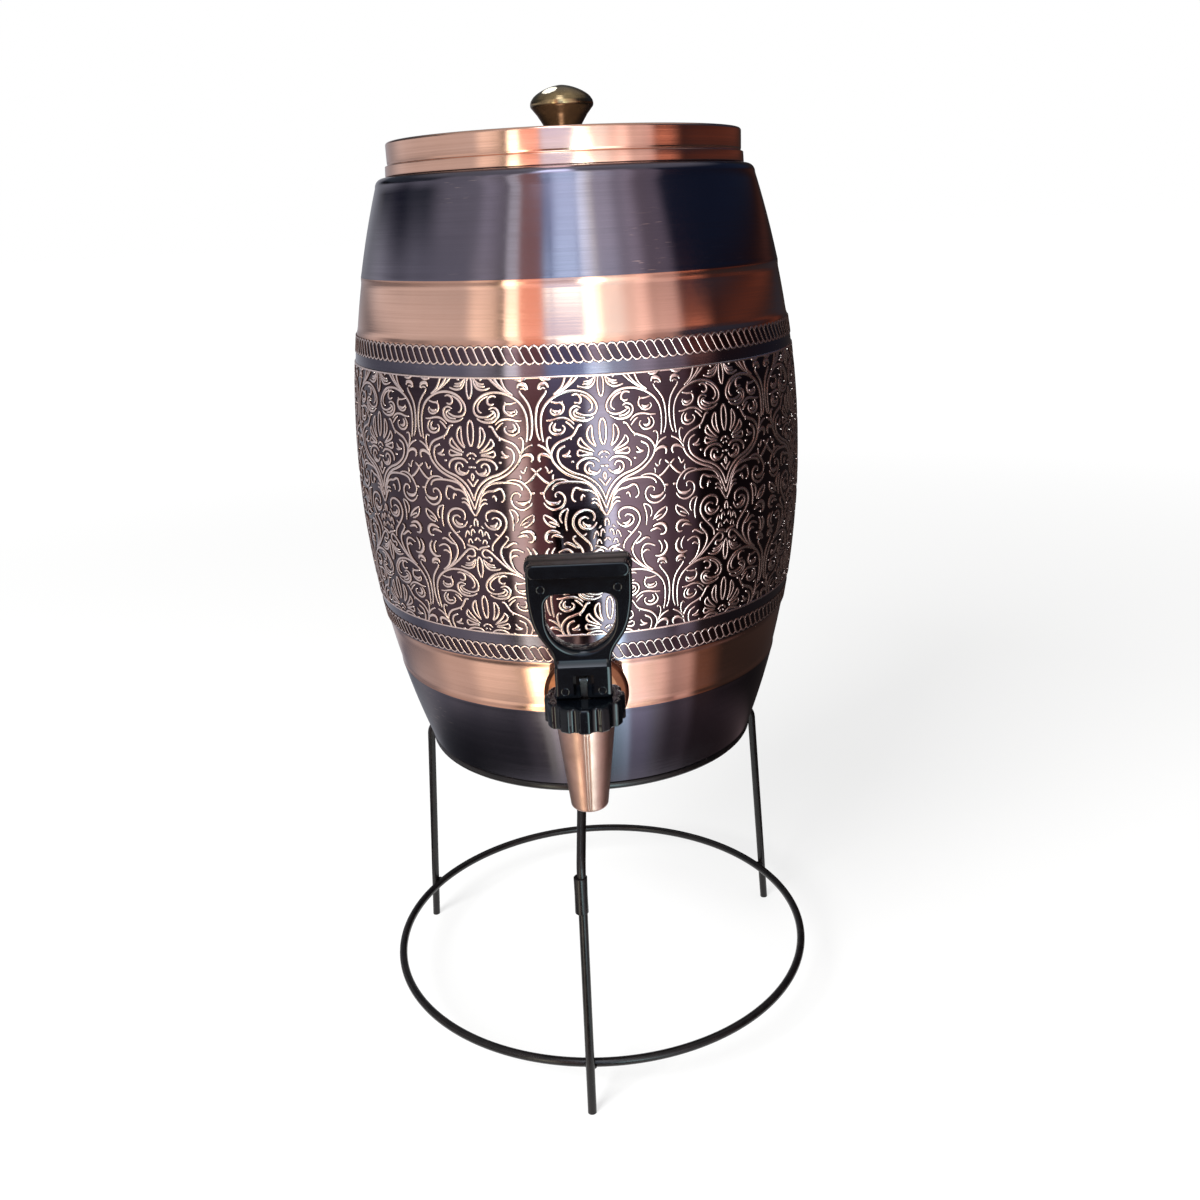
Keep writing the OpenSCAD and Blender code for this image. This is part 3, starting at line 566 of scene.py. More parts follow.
class DISPENSER_OT_barrel(bpy.types.Operator):
    """Barrel with its rolled copper bands, shoulder and inner wall"""
    bl_idname = "dispenser.barrel"
    bl_label = "Barrel"

    def execute(self, context):
        sizes = context.scene.dispenser_sizes
        side, shoulder, (low_a, low_b, up_a, up_b) = barrel_profile(sizes)
        wall = sizes.wall / MM
        neck_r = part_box("mouth_neck")[1].x / MM + 0.05
        top = shoulder[-1, 1]
        inner = side[::3][::-1] - [wall, 0]
        rim = [[neck_r, top], [neck_r, top - wall], [inner[0, 0] - 3, top - wall]]
        foot = [[side[0, 0] - wall, side[0, 1]]]
        outline = np.concatenate([foot, side, shoulder, rim, inner])
        middle_z = (outline[:, 1] + np.roll(outline[:, 1], -1)) / 2
        on_side = np.arange(len(outline)) < len(side)
        inside = np.arange(len(outline)) >= 1 + len(side) + len(shoulder)
        grounds = [(sizes.panel_low / MM, sizes.panel_high / MM), *rope_spans(sizes)]
        in_band, in_panel = (np.any([(middle_z > low) & (middle_z < high) for low, high in spans], 0)
                             for spans in ([(low_a, low_b), (up_a, up_b)], grounds))
        zone = np.where(inside, 3, np.where(on_side & in_band, 1, np.where(on_side & in_panel, 2, 0)))
        part = turned(outline, BARREL_SIDES, zone, ring=True)
        finishes = [finish(name) for name in ("oxidised_copper_brushed", "copper_brushed_band",
                                              "oxidised_copper_ground", "copper_brushed")]
        make_piece("barrel", [part], finishes, "vessel", ["barrel_shell"], crease=50)
        return {"FINISHED"}


# Engraved panel. Each stroke is its width at the ends, its width in the middle and the points that it
# passes, in millimetres: across from the palmette's axis, and up from the foot of the V under it. Every
# stroke is mirrored.

PALMETTE = [
    (0.85, 0.85, [(0, 38.5), (0.95, 37.2), (1.3, 35), (1.3, 32.5), (1, 30), (0.4, 28.3), (0, 27.8)]),
    (0.7, 0.95, [(2.9, 27.1), (4.8, 28.7), (6.1, 30.8), (6.4, 32.8), (5.7, 34.8), (4.5, 35.9)]),
    (0.7, 0.85, [(2.9, 27.4), (3.9, 29.6), (4.3, 32), (4.35, 34.2), (4.4, 35.9)]),
    (0.7, 0.95, [(3.6, 25.4), (6.4, 26.3), (8.8, 27.4), (10.1, 28.6), (10, 29.9), (9, 31.2)]),
    (0.7, 0.85, [(4.4, 26), (6.3, 27.5), (7.9, 29.2), (8.6, 30.3), (9, 31.3)]),
    (0.7, 0.95, [(4.2, 24.3), (7.2, 24.2), (9.4, 23.8), (10.6, 24.5), (10.3, 26.2)]),
    (0.7, 0.85, [(4.3, 24.6), (7, 25.2), (9, 25.9), (10.3, 26.3)]),
    (0.8, 0.8, [(0, 25.3), (1.4, 24.8), (2.3, 23.7)]),
    (0.7, 0.7, [(0.4, 23.4), (1.4, 22.6)]),
    (0.8, 0.8, [(0, 19.5), (1.8, 19.4)]),
    (0.8, 1.0, [(1.8, 21.1), (3.5, 22.5), (6, 22.9), (8.6, 22.4), (10.4, 21.1), (11, 19.7), (10.6, 18.4)]),
    (0.7, 1.0, [(1.5, 18.3), (2.5, 17), (4.4, 16.2), (6.5, 16.6), (7.8, 18.1), (7.6, 20), (6.4, 21),
                (5, 20.8), (4.2, 19.9), (4.6, 19.2)]),
    (0.5, 1.2, [(3, 16.9), (5, 17.1), (6.2, 17.9), (6.1, 19.2)]),
    (0.9, 0.9, [(11.9, 21.7), (13.4, 21.6)]),
    (0.8, 0.95, [(0, 11.3), (1.2, 13), (2.6, 14.6)]),
    (0.7, 0.7, [(0, 17.1), (0.6, 15.6), (0, 13.7)]),
]
OGEE = [
    (0.9, 1.0, [(0, 5.4), (1, 8.5), (2.6, 11.4), (5, 13.8), (8, 15.6), (12, 17), (15, 18.7), (17.3, 20.7),
                (18.4, 23), (18.5, 25.2), (17.7, 26.9), (16.2, 27.7), (15.2, 28.2)]),
    (0.6, 1.0, [(13.4, 26.4), (14.2, 25.1), (15.4, 24.4), (16.8, 24.3)]),
    (0.6, 0.9, [(13, 24), (14.6, 23.8), (16.8, 24.3)]),
    (0.9, 1.05, [(8.1, 36.1), (9.6, 35.9), (10.8, 34), (12.3, 31.9), (15, 30.7), (18, 29.5), (20, 27.7),
                 (21.1, 25.4), (21, 23.6), (20, 21.4), (18, 19.1), (15.4, 17), (12, 15.4), (8.5, 14.1),
                 (5.4, 11.9), (3, 8.8), (1.3, 5.2), (0, 1.8)]),
    (0.7, 1.4, [(21, 23.2), (22.6, 24.5), (24.4, 25), (25.9, 24.5), (26.3, 23.2), (25.6, 21.8)]),
    (0.9, 1.0, [(0, -1), (1.3, 1), (2.2, 3.6), (3.2, 7), (4.6, 10), (6.6, 12.2), (9, 13.1), (12, 13.5),
                (15, 13.6), (18, 13.3), (20, 12.6), (21, 11.5), (21.3, 10.3)]),
    (0.5, 1.0, [(14.6, 14), (17, 14.7), (20, 14.4), (22.4, 12.8), (24.2, 10.4), (24.9, 8.2), (24.4, 6.6)]),
    (0.6, 1.0, [(25.2, 5.5), (24, 3.8), (22, 2.6), (20, 2.5), (18, 3.4), (16.7, 5), (16.4, 7), (17.2, 8.7),
                (18.6, 9.5), (19.9, 9.2), (20.4, 8.3), (19.8, 7.4)]),
    (0.5, 1.5, [(18.2, 6.3), (19.3, 5.2), (21.2, 4.9), (23.2, 5.4), (24.6, 6.8)]),
    (0.9, 1.0, [(24.7, 9.1), (25.7, 9.4), (26.6, 9.1)]),
    (0.7, 1.0, [(3.4, 7.2), (5, 9), (7, 9.8), (9, 10), (11, 10.9), (12.4, 10.9), (13.3, 9.2), (13.6, 7.2),
                (13, 5.9), (11.9, 5.5)]),
    (0.6, 0.95, [(8.2, 7.2), (9.2, 8.1), (9.8, 7), (10, 5.6)]),
    (0.7, 0.95, [(0.3, -0.6), (1.9, 1.7), (3.1, 3.7), (4.7, 4.8), (6.1, 4.4)]),
    (0.6, 0.85, [(2.6, 4.6), (3.6, 6), (5.2, 6.4), (5.9, 5.9)]),
    (0.6, 0.8, [(20.4, 16.9), (21, 16), (20.8, 14.6)]),
    (0.8, 1.1, [(22.3, 13.2), (24, 14), (26, 15.8), (27.5, 17.6)]),
    (0.6, 1.0, [(25.2, 19.6), (26.4, 18.7), (27.5, 17.8)]),
    (0.6, 0.9, [(20.9, 18.8), (21.7, 17.7), (22.9, 17.7)]),
    (0.6, 0.8, [(22.9, 17.7), (22.9, 19), (23.9, 20.2)]),
]
VOLUTES = [
    (0.8, 1.0, [(25.3, 30.4), (26.3, 33), (26.7, 37), (26.5, 41), (25.7, 44.3), (24, 47), (22.5, 48.8),
                (21.9, 50.2)]),
    (0.7, 1.6, [(21.1, 50.9), (21.6, 52.3), (23.3, 52.6), (24.8, 51.9), (25.3, 50.2)]),
    (0.6, 0.8, [(22.2, 50.6), (23.6, 51), (24.8, 50.2)]),
    (0.8, 1.05, [(24, 29.8), (24.5, 33), (24.7, 37), (24.4, 40.4), (23.2, 43.4), (21, 46), (18, 47.9),
                 (15, 49), (12, 49.4), (9, 49.2), (6, 48.2), (3.7, 46.4), (2.2, 44.2), (2, 42), (3, 40.4),
                 (5, 39.7), (7.4, 39.8), (9.4, 40.6), (10.6, 41.4), (10.2, 42)]),
    (0.6, 0.95, [(8.6, 48.1), (6, 46.9), (4.3, 45.2), (3.7, 43.3), (4.4, 41.8), (5.6, 41.4)]),
    (0.6, 1.15, [(3.1, 39.3), (5, 38.1), (8, 37.6), (10.8, 38.2), (12.5, 39.9), (12.7, 41.9), (11.6, 43.2),
                 (10, 43.5), (8.4, 42.7)]),
    (0.6, 0.9, [(9.2, 42.1), (10.5, 42.1), (11.4, 41.1), (11, 40), (9.2, 39), (6.6, 38.8)]),
    (0.7, 1.05, [(12, 47.6), (10.6, 48.1), (9, 47.7), (8.2, 46.4), (8.3, 45.2), (9.4, 44.5), (11.1, 45)]),
    (0.6, 1.0, [(20.6, 45.6), (18, 45), (16, 44.9), (15.2, 43.6), (15.5, 42), (16.8, 40.8), (18.5, 40.4),
                (20, 40.8), (20.7, 42), (20, 43)]),
    (0.6, 0.7, [(15.6, 45.8), (15.9, 44.9)]),
    (0.5, 1.2, [(16.3, 42.3), (17.5, 41.6), (19, 41.7), (20, 42.4)]),
    (0.6, 1.0, [(22.6, 38.3), (20, 38.4), (17.4, 39), (14.6, 38.9), (12.5, 37.8), (11.2, 36.5)]),
    (0.6, 0.9, [(14.9, 37.7), (13.2, 36.6), (11.4, 34.6)]),
    (0.6, 1.0, [(19.8, 37.8), (21.1, 36.2), (21.2, 34.4), (20, 33.1), (18, 32.7), (16.2, 33.3),
                (15.2, 34.6), (15.3, 35.8), (16.3, 36.2)]),
    (0.5, 1.4, [(16.5, 34.7), (18, 34.2), (19.4, 34.7), (19.5, 36), (18.6, 37.3)]),
    (0.7, 0.9, [(20.6, 31.2), (21.8, 31.8), (22.6, 30.6), (22.6, 28.5), (21.9, 26.3), (21.2, 24.8)]),
    (0.7, 0.9, [(26.6, 28.9), (24.5, 28), (22.8, 26.7), (21.5, 24.9)]),
    (0.7, 0.8, [(12.6, 30.2), (13, 31.2), (12.4, 32)]),
]
BLOSSOM = [
    (0.8, 1.05, [(6.7, -15.7), (6.6, -14), (7.5, -12), (9.6, -9.8), (12, -7.3), (13.4, -5), (13.7, -3),
                 (13.2, -1), (11.8, 0.7), (10, 1.6), (8, 1.8), (6, 1.2), (5, 0), (4.9, -1.6), (5.6, -3)]),
    (0.6, 1.05, [(4, -3.3), (5, -4.9), (6.5, -5.9), (8.5, -6.1), (10.3, -5.2), (11.2, -3.5), (10.8, -2),
                 (9.5, -1.2), (8.2, -1.2), (7.2, -2)]),
    (0.5, 1.4, [(6.2, -4.6), (8, -4.9), (9.3, -4.1), (9.7, -2.9)]),
    (0.6, 0.7, [(8.2, -7.9), (9.1, -8.5), (10.2, -8.9)]),
    (0.7, 0.9, [(0, -1.8), (0.8, -3.4), (0.7, -5.4)]),
    (0.6, 0.8, [(0.9, -8.3), (1.3, -6.9), (2, -6.6), (2.6, -7.9), (2.7, -9.7)]),
    (0.6, 0.8, [(3.6, -9.3), (3.9, -7.6), (4.5, -7.4), (5.3, -8.9), (5.7, -10.6)]),
    (0.6, 0.8, [(2.3, -12.8), (2.9, -11.3), (3.5, -10.8), (4.3, -11.8), (4.1, -13)]),
    (0.7, 0.8, [(0, -10), (1.5, -11.6)]),
    (0.6, 0.7, [(2.2, -4.9), (3.4, -6.1)]),
    (0.8, 1.0, [(0, -15.6), (1.5, -14.4), (3.5, -14), (5.4, -13.3)]),
    (0.8, 1.0, [(19.3, -26.2), (15, -24.2), (11.6, -21.8), (8.6, -19), (6.2, -16.7), (4.4, -15.4),
                (2.7, -15.2), (1.7, -16.5), (2, -18), (3.4, -18.7), (4.8, -18.3), (5.7, -18.9),
                (5.7, -19.9), (4.6, -20.2)]),
    (0.7, 1.0, [(18, -26), (15.6, -24.3), (12.6, -21.4), (10.9, -18.8), (10.2, -16.5), (10.6, -14.5),
                (11.6, -13), (13.2, -11.3), (14, -10), (13.6, -9), (12.6, -9.1)]),
    (0.6, 1.1, [(11.4, -13.8), (13, -13.5), (14.6, -12.4), (16.5, -11.6), (18, -12.4)]),
    (0.7, 1.0, [(19.3, -26.2), (16.4, -24), (15, -21.8), (14.3, -19.6), (14.2, -17.6), (14.7, -15.6),
                (16, -14.6), (17.8, -14.6), (20.4, -15.8)]),
    (0.6, 1.0, [(14.4, -18.4), (15.5, -17.4), (16.8, -17), (18, -17.6)]),
    (0.8, 0.9, [(0, -18.3), (0.9, -20), (1.2, -22.5), (1.1, -25), (0.5, -27), (0, -27.8)]),
    (0.6, 1.0, [(1.8, -19.4), (2.4, -21.8), (4, -23.6), (6.5, -24), (9.6, -23.2)]),
    (0.6, 0.95, [(1.9, -19.6), (3.4, -21), (5, -21.7), (7, -21.7)]),
    (0.5, 1.0, [(2.9, -21.3), (4.6, -22.6), (7.4, -22.7)]),
    (0.6, 0.9, [(15.3, 2.7), (17.4, 2), (18.7, 0.2), (18.8, -1.8), (18, -3.3)]),
    (0.6, 0.9, [(15.3, 2.6), (16.2, 0), (16.7, -3), (16.3, -6.7)]),
    (0.6, 0.95, [(19.3, -4.8), (20.5, -2.7), (22.4, -1.1), (25.3, 0.5)]),
    (0.6, 0.95, [(25.4, 0.4), (25.4, -1.5), (24.1, -3.4), (22.2, -4.6), (20.6, -4.9)]),
    (0.5, 0.9, [(19.9, -4.2), (22, -3), (23.6, -2.6)]),
    (0.5, 1.2, [(17.8, -9.3), (19.6, -8.6), (21.5, -8.3), (22.9, -9.3)]),
    (0.6, 1.5, [(19, -7.5), (21, -6.7), (23.2, -6.6), (24.8, -7.9), (25.1, -9.8), (24, -11.1),
                (22.2, -11)]),
    (0.5, 0.95, [(21.4, -13.4), (22.6, -14.9), (23.1, -17), (22.4, -19)]),
    (0.6, 1.5, [(23.9, -13.7), (25.2, -15.5), (25.3, -17.8), (24, -19.7), (22, -20.4), (19.9, -20)]),
]
UNIT_W = 55.0
UNIT_H = 74.4
UNIT_FOOT_Z = 287.86
# Section of a raised line: half widths of its foot and its flat top as shares of the stroke's width, the
# height of its sunk foot as a share of the line's, and the finish of its four sides, bright on top and
# brown painted shade elsewhere
FOOT_HALF = 0.74
FLAT_HALF = 0.45
SUNK = -0.06
LINE_SIDES = [1, 0, 1, 1]
# Each stroke and each group stands a hair higher than the one before, so that no two tops coincide
STROKE_LIFT = 0.0025
GROUP_LIFT = 0.02


def ribbon(stroke, lift, step=0.72):
    """A stroke as a raised line: a low trapezium carried along its smooth path. Its width grows from the
    ends to the middle as half a sine, and rounds off at each end as a half circle. Returns points of
    across, up, height."""
    end_w, mid_w, corners = stroke
    path, run = smooth_path(corners, step)
    total = run[-1]
    near = FLAT_HALF * end_w
    extra = np.array([0, 0.12 * near, 0.5 * near, near])
    clear = 1.4 * near
    at = np.unique(np.concatenate([extra, run[(run > clear) & (run < total - clear)], total - extra]))
    path = np.stack([np.interp(at, run, path[:, k]) for k in (0, 1)], -1)
    width = end_w + (mid_w - end_w) * np.sin(math.pi * at / total)
    to_end = np.clip(np.minimum(at, total - at) / near, 0, 1)
    cap = np.sqrt(np.maximum(1 - (1 - to_end) ** 2, 0))
    along = np.gradient(path, at, axis=0)
    along /= np.linalg.norm(along, axis=1, keepdims=True)
    side = np.stack([-along[:, 1], along[:, 0]], -1)
    across = np.array([-FOOT_HALF, -FLAT_HALF, FLAT_HALF, FOOT_HALF])[:, None] * (width * cap)[:, None, None]
    flat = path[:, None] + side[:, None] * across
    height = np.full((len(path), 4), SUNK * lift)
    height[:, 1:3] = lift * cap[:, None] ** 0.5
    return np.concatenate([flat, height[:, :, None]], -1)


def on_barrel(sizes, flat, across_r):
    """Points of across, up, height laid on the barrel: across turns about the axis, height stands off the
    bow."""
    return around(bow(sizes, flat[..., 1]) + flat[..., 2], flat[..., 0] / across_r, flat[..., 1])


def copies_of(line, faces, steps):
    """Copies of a raised line moved across by each step: their points, and their quads numbered on."""
    points = np.repeat(line.reshape(1, -1, 3), len(steps), 0)
    points[..., 0] += steps[:, None]
    quads = faces + (np.arange(len(steps)) * points.shape[1])[:, None, None]
    return points, quads.reshape(-1, 4)


def strokes_part(sizes, strokes, first_lift):
    """All strokes of a list, mirrored and repeated over the panel. Faces outside the panel are left out and
    those across its edge are cut back to it."""
    belly = sizes.belly_r / MM
    low, high = sizes.panel_low / MM, sizes.panel_high / MM
    step = TAU * belly / sizes.repeats
    points, quads, sides = [], [], []
    count = 0
    for number, stroke in enumerate(strokes):
        line = ribbon(stroke, sizes.relief / MM + first_lift + STROKE_LIFT * number)
        line[..., 0] *= step / UNIT_W
        for mirror in (1, -1):
            across = line[..., 0] * mirror + sizes.repeat_turn * belly
            faces = quads_of(len(line), 4, wrap_columns=True)[:, ::mirror]
            for row in (-1, 0, 1):
                up = line[..., 1] + UNIT_FOOT_Z + row * UNIT_H
                inside = (up > low) & (up < high)
                if not inside.any():
                    continue
                keep = inside.reshape(-1)[faces].any(1)
                cut = np.stack([across, np.clip(up, low, high), line[..., 2]], -1)
                moved, numbered = copies_of(cut, faces[keep], np.arange(sizes.repeats) * step)
                points.append(moved.reshape(-1, 3))
                quads.append(numbered + count)
                sides.append(np.tile(np.tile(LINE_SIDES, len(line) - 1)[keep], sizes.repeats))
                count += len(points[-1])
    used, faces = np.unique(np.concatenate(quads), return_inverse=True)
    return on_barrel(sizes, np.concatenate(points)[used], belly), faces.reshape(-1, 4), np.concatenate(sides)


def line_finishes():
    """The bright top of raised lines, and the painted brown shade on their sides."""
    return [finish("relief_copper_rubbed"), finish("line_sides_painted_shade")]


class DISPENSER_OT_damask(bpy.types.Operator):
    """Scrolled damask ornament of raised copper lines round the barrel's belly"""
    bl_idname = "dispenser.damask"
    bl_label = "Damask ornament"

    def execute(self, context):
        sizes = context.scene.dispenser_sizes
        groups = {"damask_palmettes": PALMETTE, "damask_ogees": OGEE, "damask_volutes": VOLUTES,
                  "damask_blossoms": BLOSSOM}
        for number, (name, strokes) in enumerate(groups.items()):
            part = strokes_part(sizes, strokes, GROUP_LIFT * number)
            make_piece(name, [part], line_finishes(), "vessel")
        return {"FINISHED"}


# One strand of the rope, drawn 4 mm along and 7.1 mm up: an arch, a slanted side and the arc that closes
# the next one
ROPE_TWIST = [(-0.75, 5.5), (-0.1, 6.5), (0.7, 7), (1.7, 7.1), (2.6, 6.6), (3.5, 5.1), (4.5, 3.1),
              (5.45, 1.4), (6.4, 0.4), (7.5, 0), (8.7, 0.35), (9.45, 1.2)]
ROPE_RUN = 4.0
ROPE_TALL = 7.1
ROPE_TWISTS = 164
ROPE_STROKE = (0.6, 0.72)
OVER_NEXT = 1.02


class DISPENSER_OT_borders(bpy.types.Operator):
    """Twisted rope borders and thin lines above and below the ornament"""
    bl_idname = "dispenser.borders"
    bl_label = "Rope borders"

    def execute(self, context):
        sizes = context.scene.dispenser_sizes
        belly = sizes.belly_r / MM
        pitch = TAU * belly / ROPE_TWISTS
        strand = [(x * pitch / ROPE_RUN, y) for x, y in ROPE_TWIST]
        for name, foot in (("rope_upper", sizes.rope_high / MM), ("rope_lower", sizes.rope_low / MM)):
            line = ribbon((*ROPE_STROKE, strand), sizes.relief / MM, 0.6)
            line[..., 1] = foot + line[..., 1] * (sizes.rope_w / MM) / ROPE_TALL
            faces = quads_of(len(line), 4, wrap_columns=True)
            moved, quads = copies_of(line, faces, np.arange(ROPE_TWISTS) * pitch)
            moved[1::2, :, 2] *= OVER_NEXT
            side = np.tile(LINE_SIDES, (len(line) - 1) * ROPE_TWISTS)
            part = on_barrel(sizes, moved.reshape(-1, 3), belly), quads, side
            make_piece(name, [part], line_finishes(), "vessel")
        across = np.array([-0.55, -0.34, 0.34, 0.55])
        up = np.array([SUNK, 1, 1, SUNK]) * (sizes.relief / MM + 0.1)
        heights = [z / MM + across for z in (sizes.panel_low, sizes.panel_high)]
        parts = [turned(np.stack([bow(sizes, z) + up, z], -1), LID_SIDES, ring=True) for z in heights]
        make_piece("panel_lines", parts, line_finishes(), "vessel")
        return {"FINISHED"}


# Lid and knob


class DISPENSER_OT_lid(bpy.types.Operator):
    """Drawn copper lid with a stepped skirt, and its turned brass knob"""
    bl_idname = "dispenser.lid"
    bl_label = "Lid and knob"

    def execute(self, context):
        low, high = foot_of("lid_cap"), top_of("lid_cap")
        skirt_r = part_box("lid_cap")[1].x / MM
        wall, hole_r, dish = 1.0, 2.6, 0.3
        step_r, top_r = skirt_r - 0.25, skirt_r - 1.2
        groove_r, dish_r, step = top_r - 0.2, top_r - 9, low + 4.5
        corners = [(skirt_r, low), (step_r, step), (groove_r, low + 5.0), (groove_r, low + 5.3),
                   (top_r, low + 5.9), (top_r, high), (dish_r, high), (hole_r, high - dish),
                   (hole_r, high - wall - dish), (dish_r, high - wall), (top_r - wall, high - wall),
                   (top_r - wall, low + 6), (step_r - wall, step), (skirt_r - wall, low)]
        round_r = [0.45, 0.3, 0.15, 0.15, 0.3, 1.1, 1, 0.2, 0.2, 1, 0.6, 0.3, 0.3, 0.3]
        lid = turned(rounded_profile(corners, round_r, 7), LID_SIDES, ring=True)
        make_piece("lid", [lid], [finish("copper_brushed")], "lid", ["lid_cap"], crease=40)
        brass_finishes = ("brass_turned_aged", "brass_turned_painted_shade", "brass_painted_highlight")
        brass = [finish(name) for name in brass_finishes]
        make_piece("knob", [knob_part(high)], brass, "lid", ["lid_knob"], crease=25)
        return {"FINISHED"}


def knob_part(foot):
    """A turned knob: a flaring foot, an upright rim and a blunt crown. The foot and the rim's lower part are
    in painted shade. One small flat is cut on the crown: points beyond its plane are dropped onto it along
    the plane's normal, and its faces get a painted highlight."""
    t = np.linspace(0, 1, 16)[:, None]
    waist_r, flare_w, flare_z, flare_h = 7.3, 6.1, 2.4, 9.4
    groove_at, groove_w, groove_deep = 0.72, 0.06, 0.12
    groove = groove_deep * np.exp(-((t - groove_at) / groove_w) ** 2)
    flare = np.hstack([waist_r + flare_w * (0.7 * t + 0.3 * t * t) - groove, flare_z + flare_h * t])
    rim = np.array([[13.75, 12.2], [13.98, 12.6], [14.1, 13.1], [14.12, 13.5], [14.06, 14.0], [13.95, 14.5],
                    [13.78, 15.0], [13.5, 15.45]])
    u = np.linspace(0.05, 1, 40)[:, None] * (math.pi / 2)
    crown_r, crown_z, crown_h = 13.3, 15.6, 5.95
    crown = np.hstack([crown_r * np.cos(u) ** 1.25, crown_z + crown_h * np.sin(u) ** 1.4])
    foot_edge = np.array([[0, 0], [7.6, 0], [7.75, 0.4], [7.6, 1.0], [7.3, 1.5]])
    profile = np.concatenate([foot_edge, flare, rim, crown])
    profile[-1, 0] = 0
    # Painted shade: the foot, the flare and the rim's lower part take the darker brass
    zone = (np.arange(len(profile) - 1) < len(foot_edge) + len(flare) + 2).astype(int)
    profile[:, 1] += foot
    points, quads, zones = turned(profile, KNOB_SIDES, zone)
    normal = np.array([-0.25, -0.37, 0.895])
    normal /= np.linalg.norm(normal)
    flat_deep, highlight_from = 0.34, 0.02
    reach = (points - [0, 0, foot + 14]) @ normal
    over = np.maximum(reach - reach.max() + flat_deep, 0)
    # Painted highlight: faces on the flat take the near white brass
    zones = np.where((over[quads] > highlight_from).all(1), 2, zones)
    return points - over[:, None] * normal, quads, zones


# Tap


TAP_Y = -0.5 * (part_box("bonnet_cap")[0].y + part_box("bonnet_cap")[1].y) / MM
TAP_Z = 0.5 * (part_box("tap_escutcheon")[0].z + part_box("tap_escutcheon")[1].z) / MM


class DISPENSER_OT_tap(bpy.types.Operator):
    """Copper-plated tap: escutcheon, shank and tapered spout, under a lobed black bonnet"""
    bl_idname = "dispenser.tap"
    bl_label = "Tap"

    def execute(self, context):
        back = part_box("tap_escutcheon")[1].y / MM
        front = back - 3.2
        collar, stop = back - 5.7, 9.7 - TAP_Y
        disc = rounded_profile([(7.1, back), (18.2, back), (18.2, back - 1.0), (16.8, back - 1.9),
                                (13.8, back - 2.75), (10.8, front), (7.1, front)],
                               [0.1, 0.2, 0.45, 3, 3, 1.2, 0.1], 6)
        # The escutcheon's dark colour is painted shade for the dark lever that it reflects
        make_piece("escutcheon", [turned_shank(disc, TAP_Z)], [finish("copper_plating_painted_shade")], "vessel",
                   ["tap_escutcheon"], crease=40)
        inner_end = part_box("tap_body")[1].y / MM
        pipe = rounded_profile([(4.2, inner_end), (7, inner_end), (7, front), (10.5, front), (10.5, collar),
                                (7, collar), (7, stop), (4.2, stop)],
                               [0.1, 0.4, 0.1, 0.1, 0.7, 0.8, 0.1, 0.1], 5)
        make_piece("tap", [turned_shank(pipe, TAP_Z), spout_part()], [finish("copper_plating")], "vessel",
                   ["tap_body"], crease=40)
        make_piece("bonnet", [bonnet_part()], [finish("abs_black_gloss")], "vessel",
                   ["bonnet_cap"], crease=30)
        return {"FINISHED"}


def spout_part():
    """The spout: a cone with a rounded tip turned about its axis, hollow inside, with a moulding rib down
    its front: the radius grows inside a narrow angle and dips by a bell curve along the rib's two edges."""
    tip, shoulder, top = foot_of("tap_body"), TAP_Z + 8.15, TAP_Z + 15.95
    steps = 7
    outline = rounded_profile([(4.2, tip), (7.3, tip), (11.6, shoulder), (11.0, shoulder), (11.0, top),
                               (8.8, top), (8.8, TAP_Z - 12), (4.2, TAP_Z - 12)],
                              [0.4, 3.0, 0.3, 0.1, 0.3, 0.3, 0.1, 0.3], steps)
    below, above = outline[:2 * steps], outline[2 * steps:]
    cone = below[-1] + (above[0] - below[-1]) * np.linspace(0, 1, 25)[1:-1, None]
    outline = np.concatenate([below, cone, above])
    fine_turn = np.radians(np.linspace(-9, 13, 45))
    turn = np.concatenate([fine_turn, np.linspace(fine_turn[-1], TAU + fine_turn[0], 92)[1:-1]])
    rib_at, rib_half, rib_soft = (math.radians(v) for v in (1.8, 3.6, 1.1))
    rib_h, seam_deep = 0.08, 0.16
    off = np.abs(np.where(turn > math.pi, turn - TAU, turn) - rib_at)
    rib = rib_h * (off < rib_half) - seam_deep * np.exp(-((off - rib_half) / rib_soft) ** 2)
    r, z = outline[:, :1], outline[:, 1:]
    outside = (z > tip + 1.2) & (z < shoulder - 0.4) & (r > 4.6)
    return looped(around(r + rib * outside, turn, z, -TAP_Y))


def bonnet_part():
    """A lobed cap: in each direction the radius is the lesser of a circle and twelve round hollows, blended
    by a soft minimum; rows step in over the rounded edges and close over the top to the stem's hole."""
    low, high = foot_of("bonnet_cap"), top_of("bonnet_cap")
    turn = full_turn(360)
    away = (turn % (TAU / 12)) - TAU / 24
    hollow_at, hollow_r, full_r, no_hollow = 17.1, 2.7, 15.7, 40.0
    reach = hollow_r ** 2 - (hollow_at * np.sin(away)) ** 2
    hollow = np.where(reach > 0, hollow_at * np.cos(away) - np.sqrt(np.maximum(reach, 0)), no_hollow)
    sharp, about = 5.0, 15
    lobes = -np.log(np.exp(-sharp * (full_r - about)) + np.exp(-sharp * (hollow - about))) / sharp + about
    steps = [(0.9, low), (0.35, low + 0.15), (0, low + 0.6), (0, low + 4), (0, high - 1.2),
             (0.05, high - 0.7), (0.22, high - 0.3), (0.5, high - 0.07), (0.9, high)]
    rows = [np.stack([lobes - inset, 0 * lobes + z], -1) for inset, z in steps]
    plain = [(11.6, high), (9.5, high - 0.25), (4.4, high - 0.25), (4.1, high - 0.6), (4.1, high - 2.2),
             (11.1, high - 2.2), (11.15, low)]
    rows += [np.stack([0 * lobes + r, 0 * lobes + z], -1) for r, z in plain]
    ring = np.stack(rows)
    return looped(around(ring[..., 0], turn, ring[..., 1], -TAP_Y))


# Lever. Across is x, up is counted from the lever's foot, and front is towards negative y from the spout's
# axis.

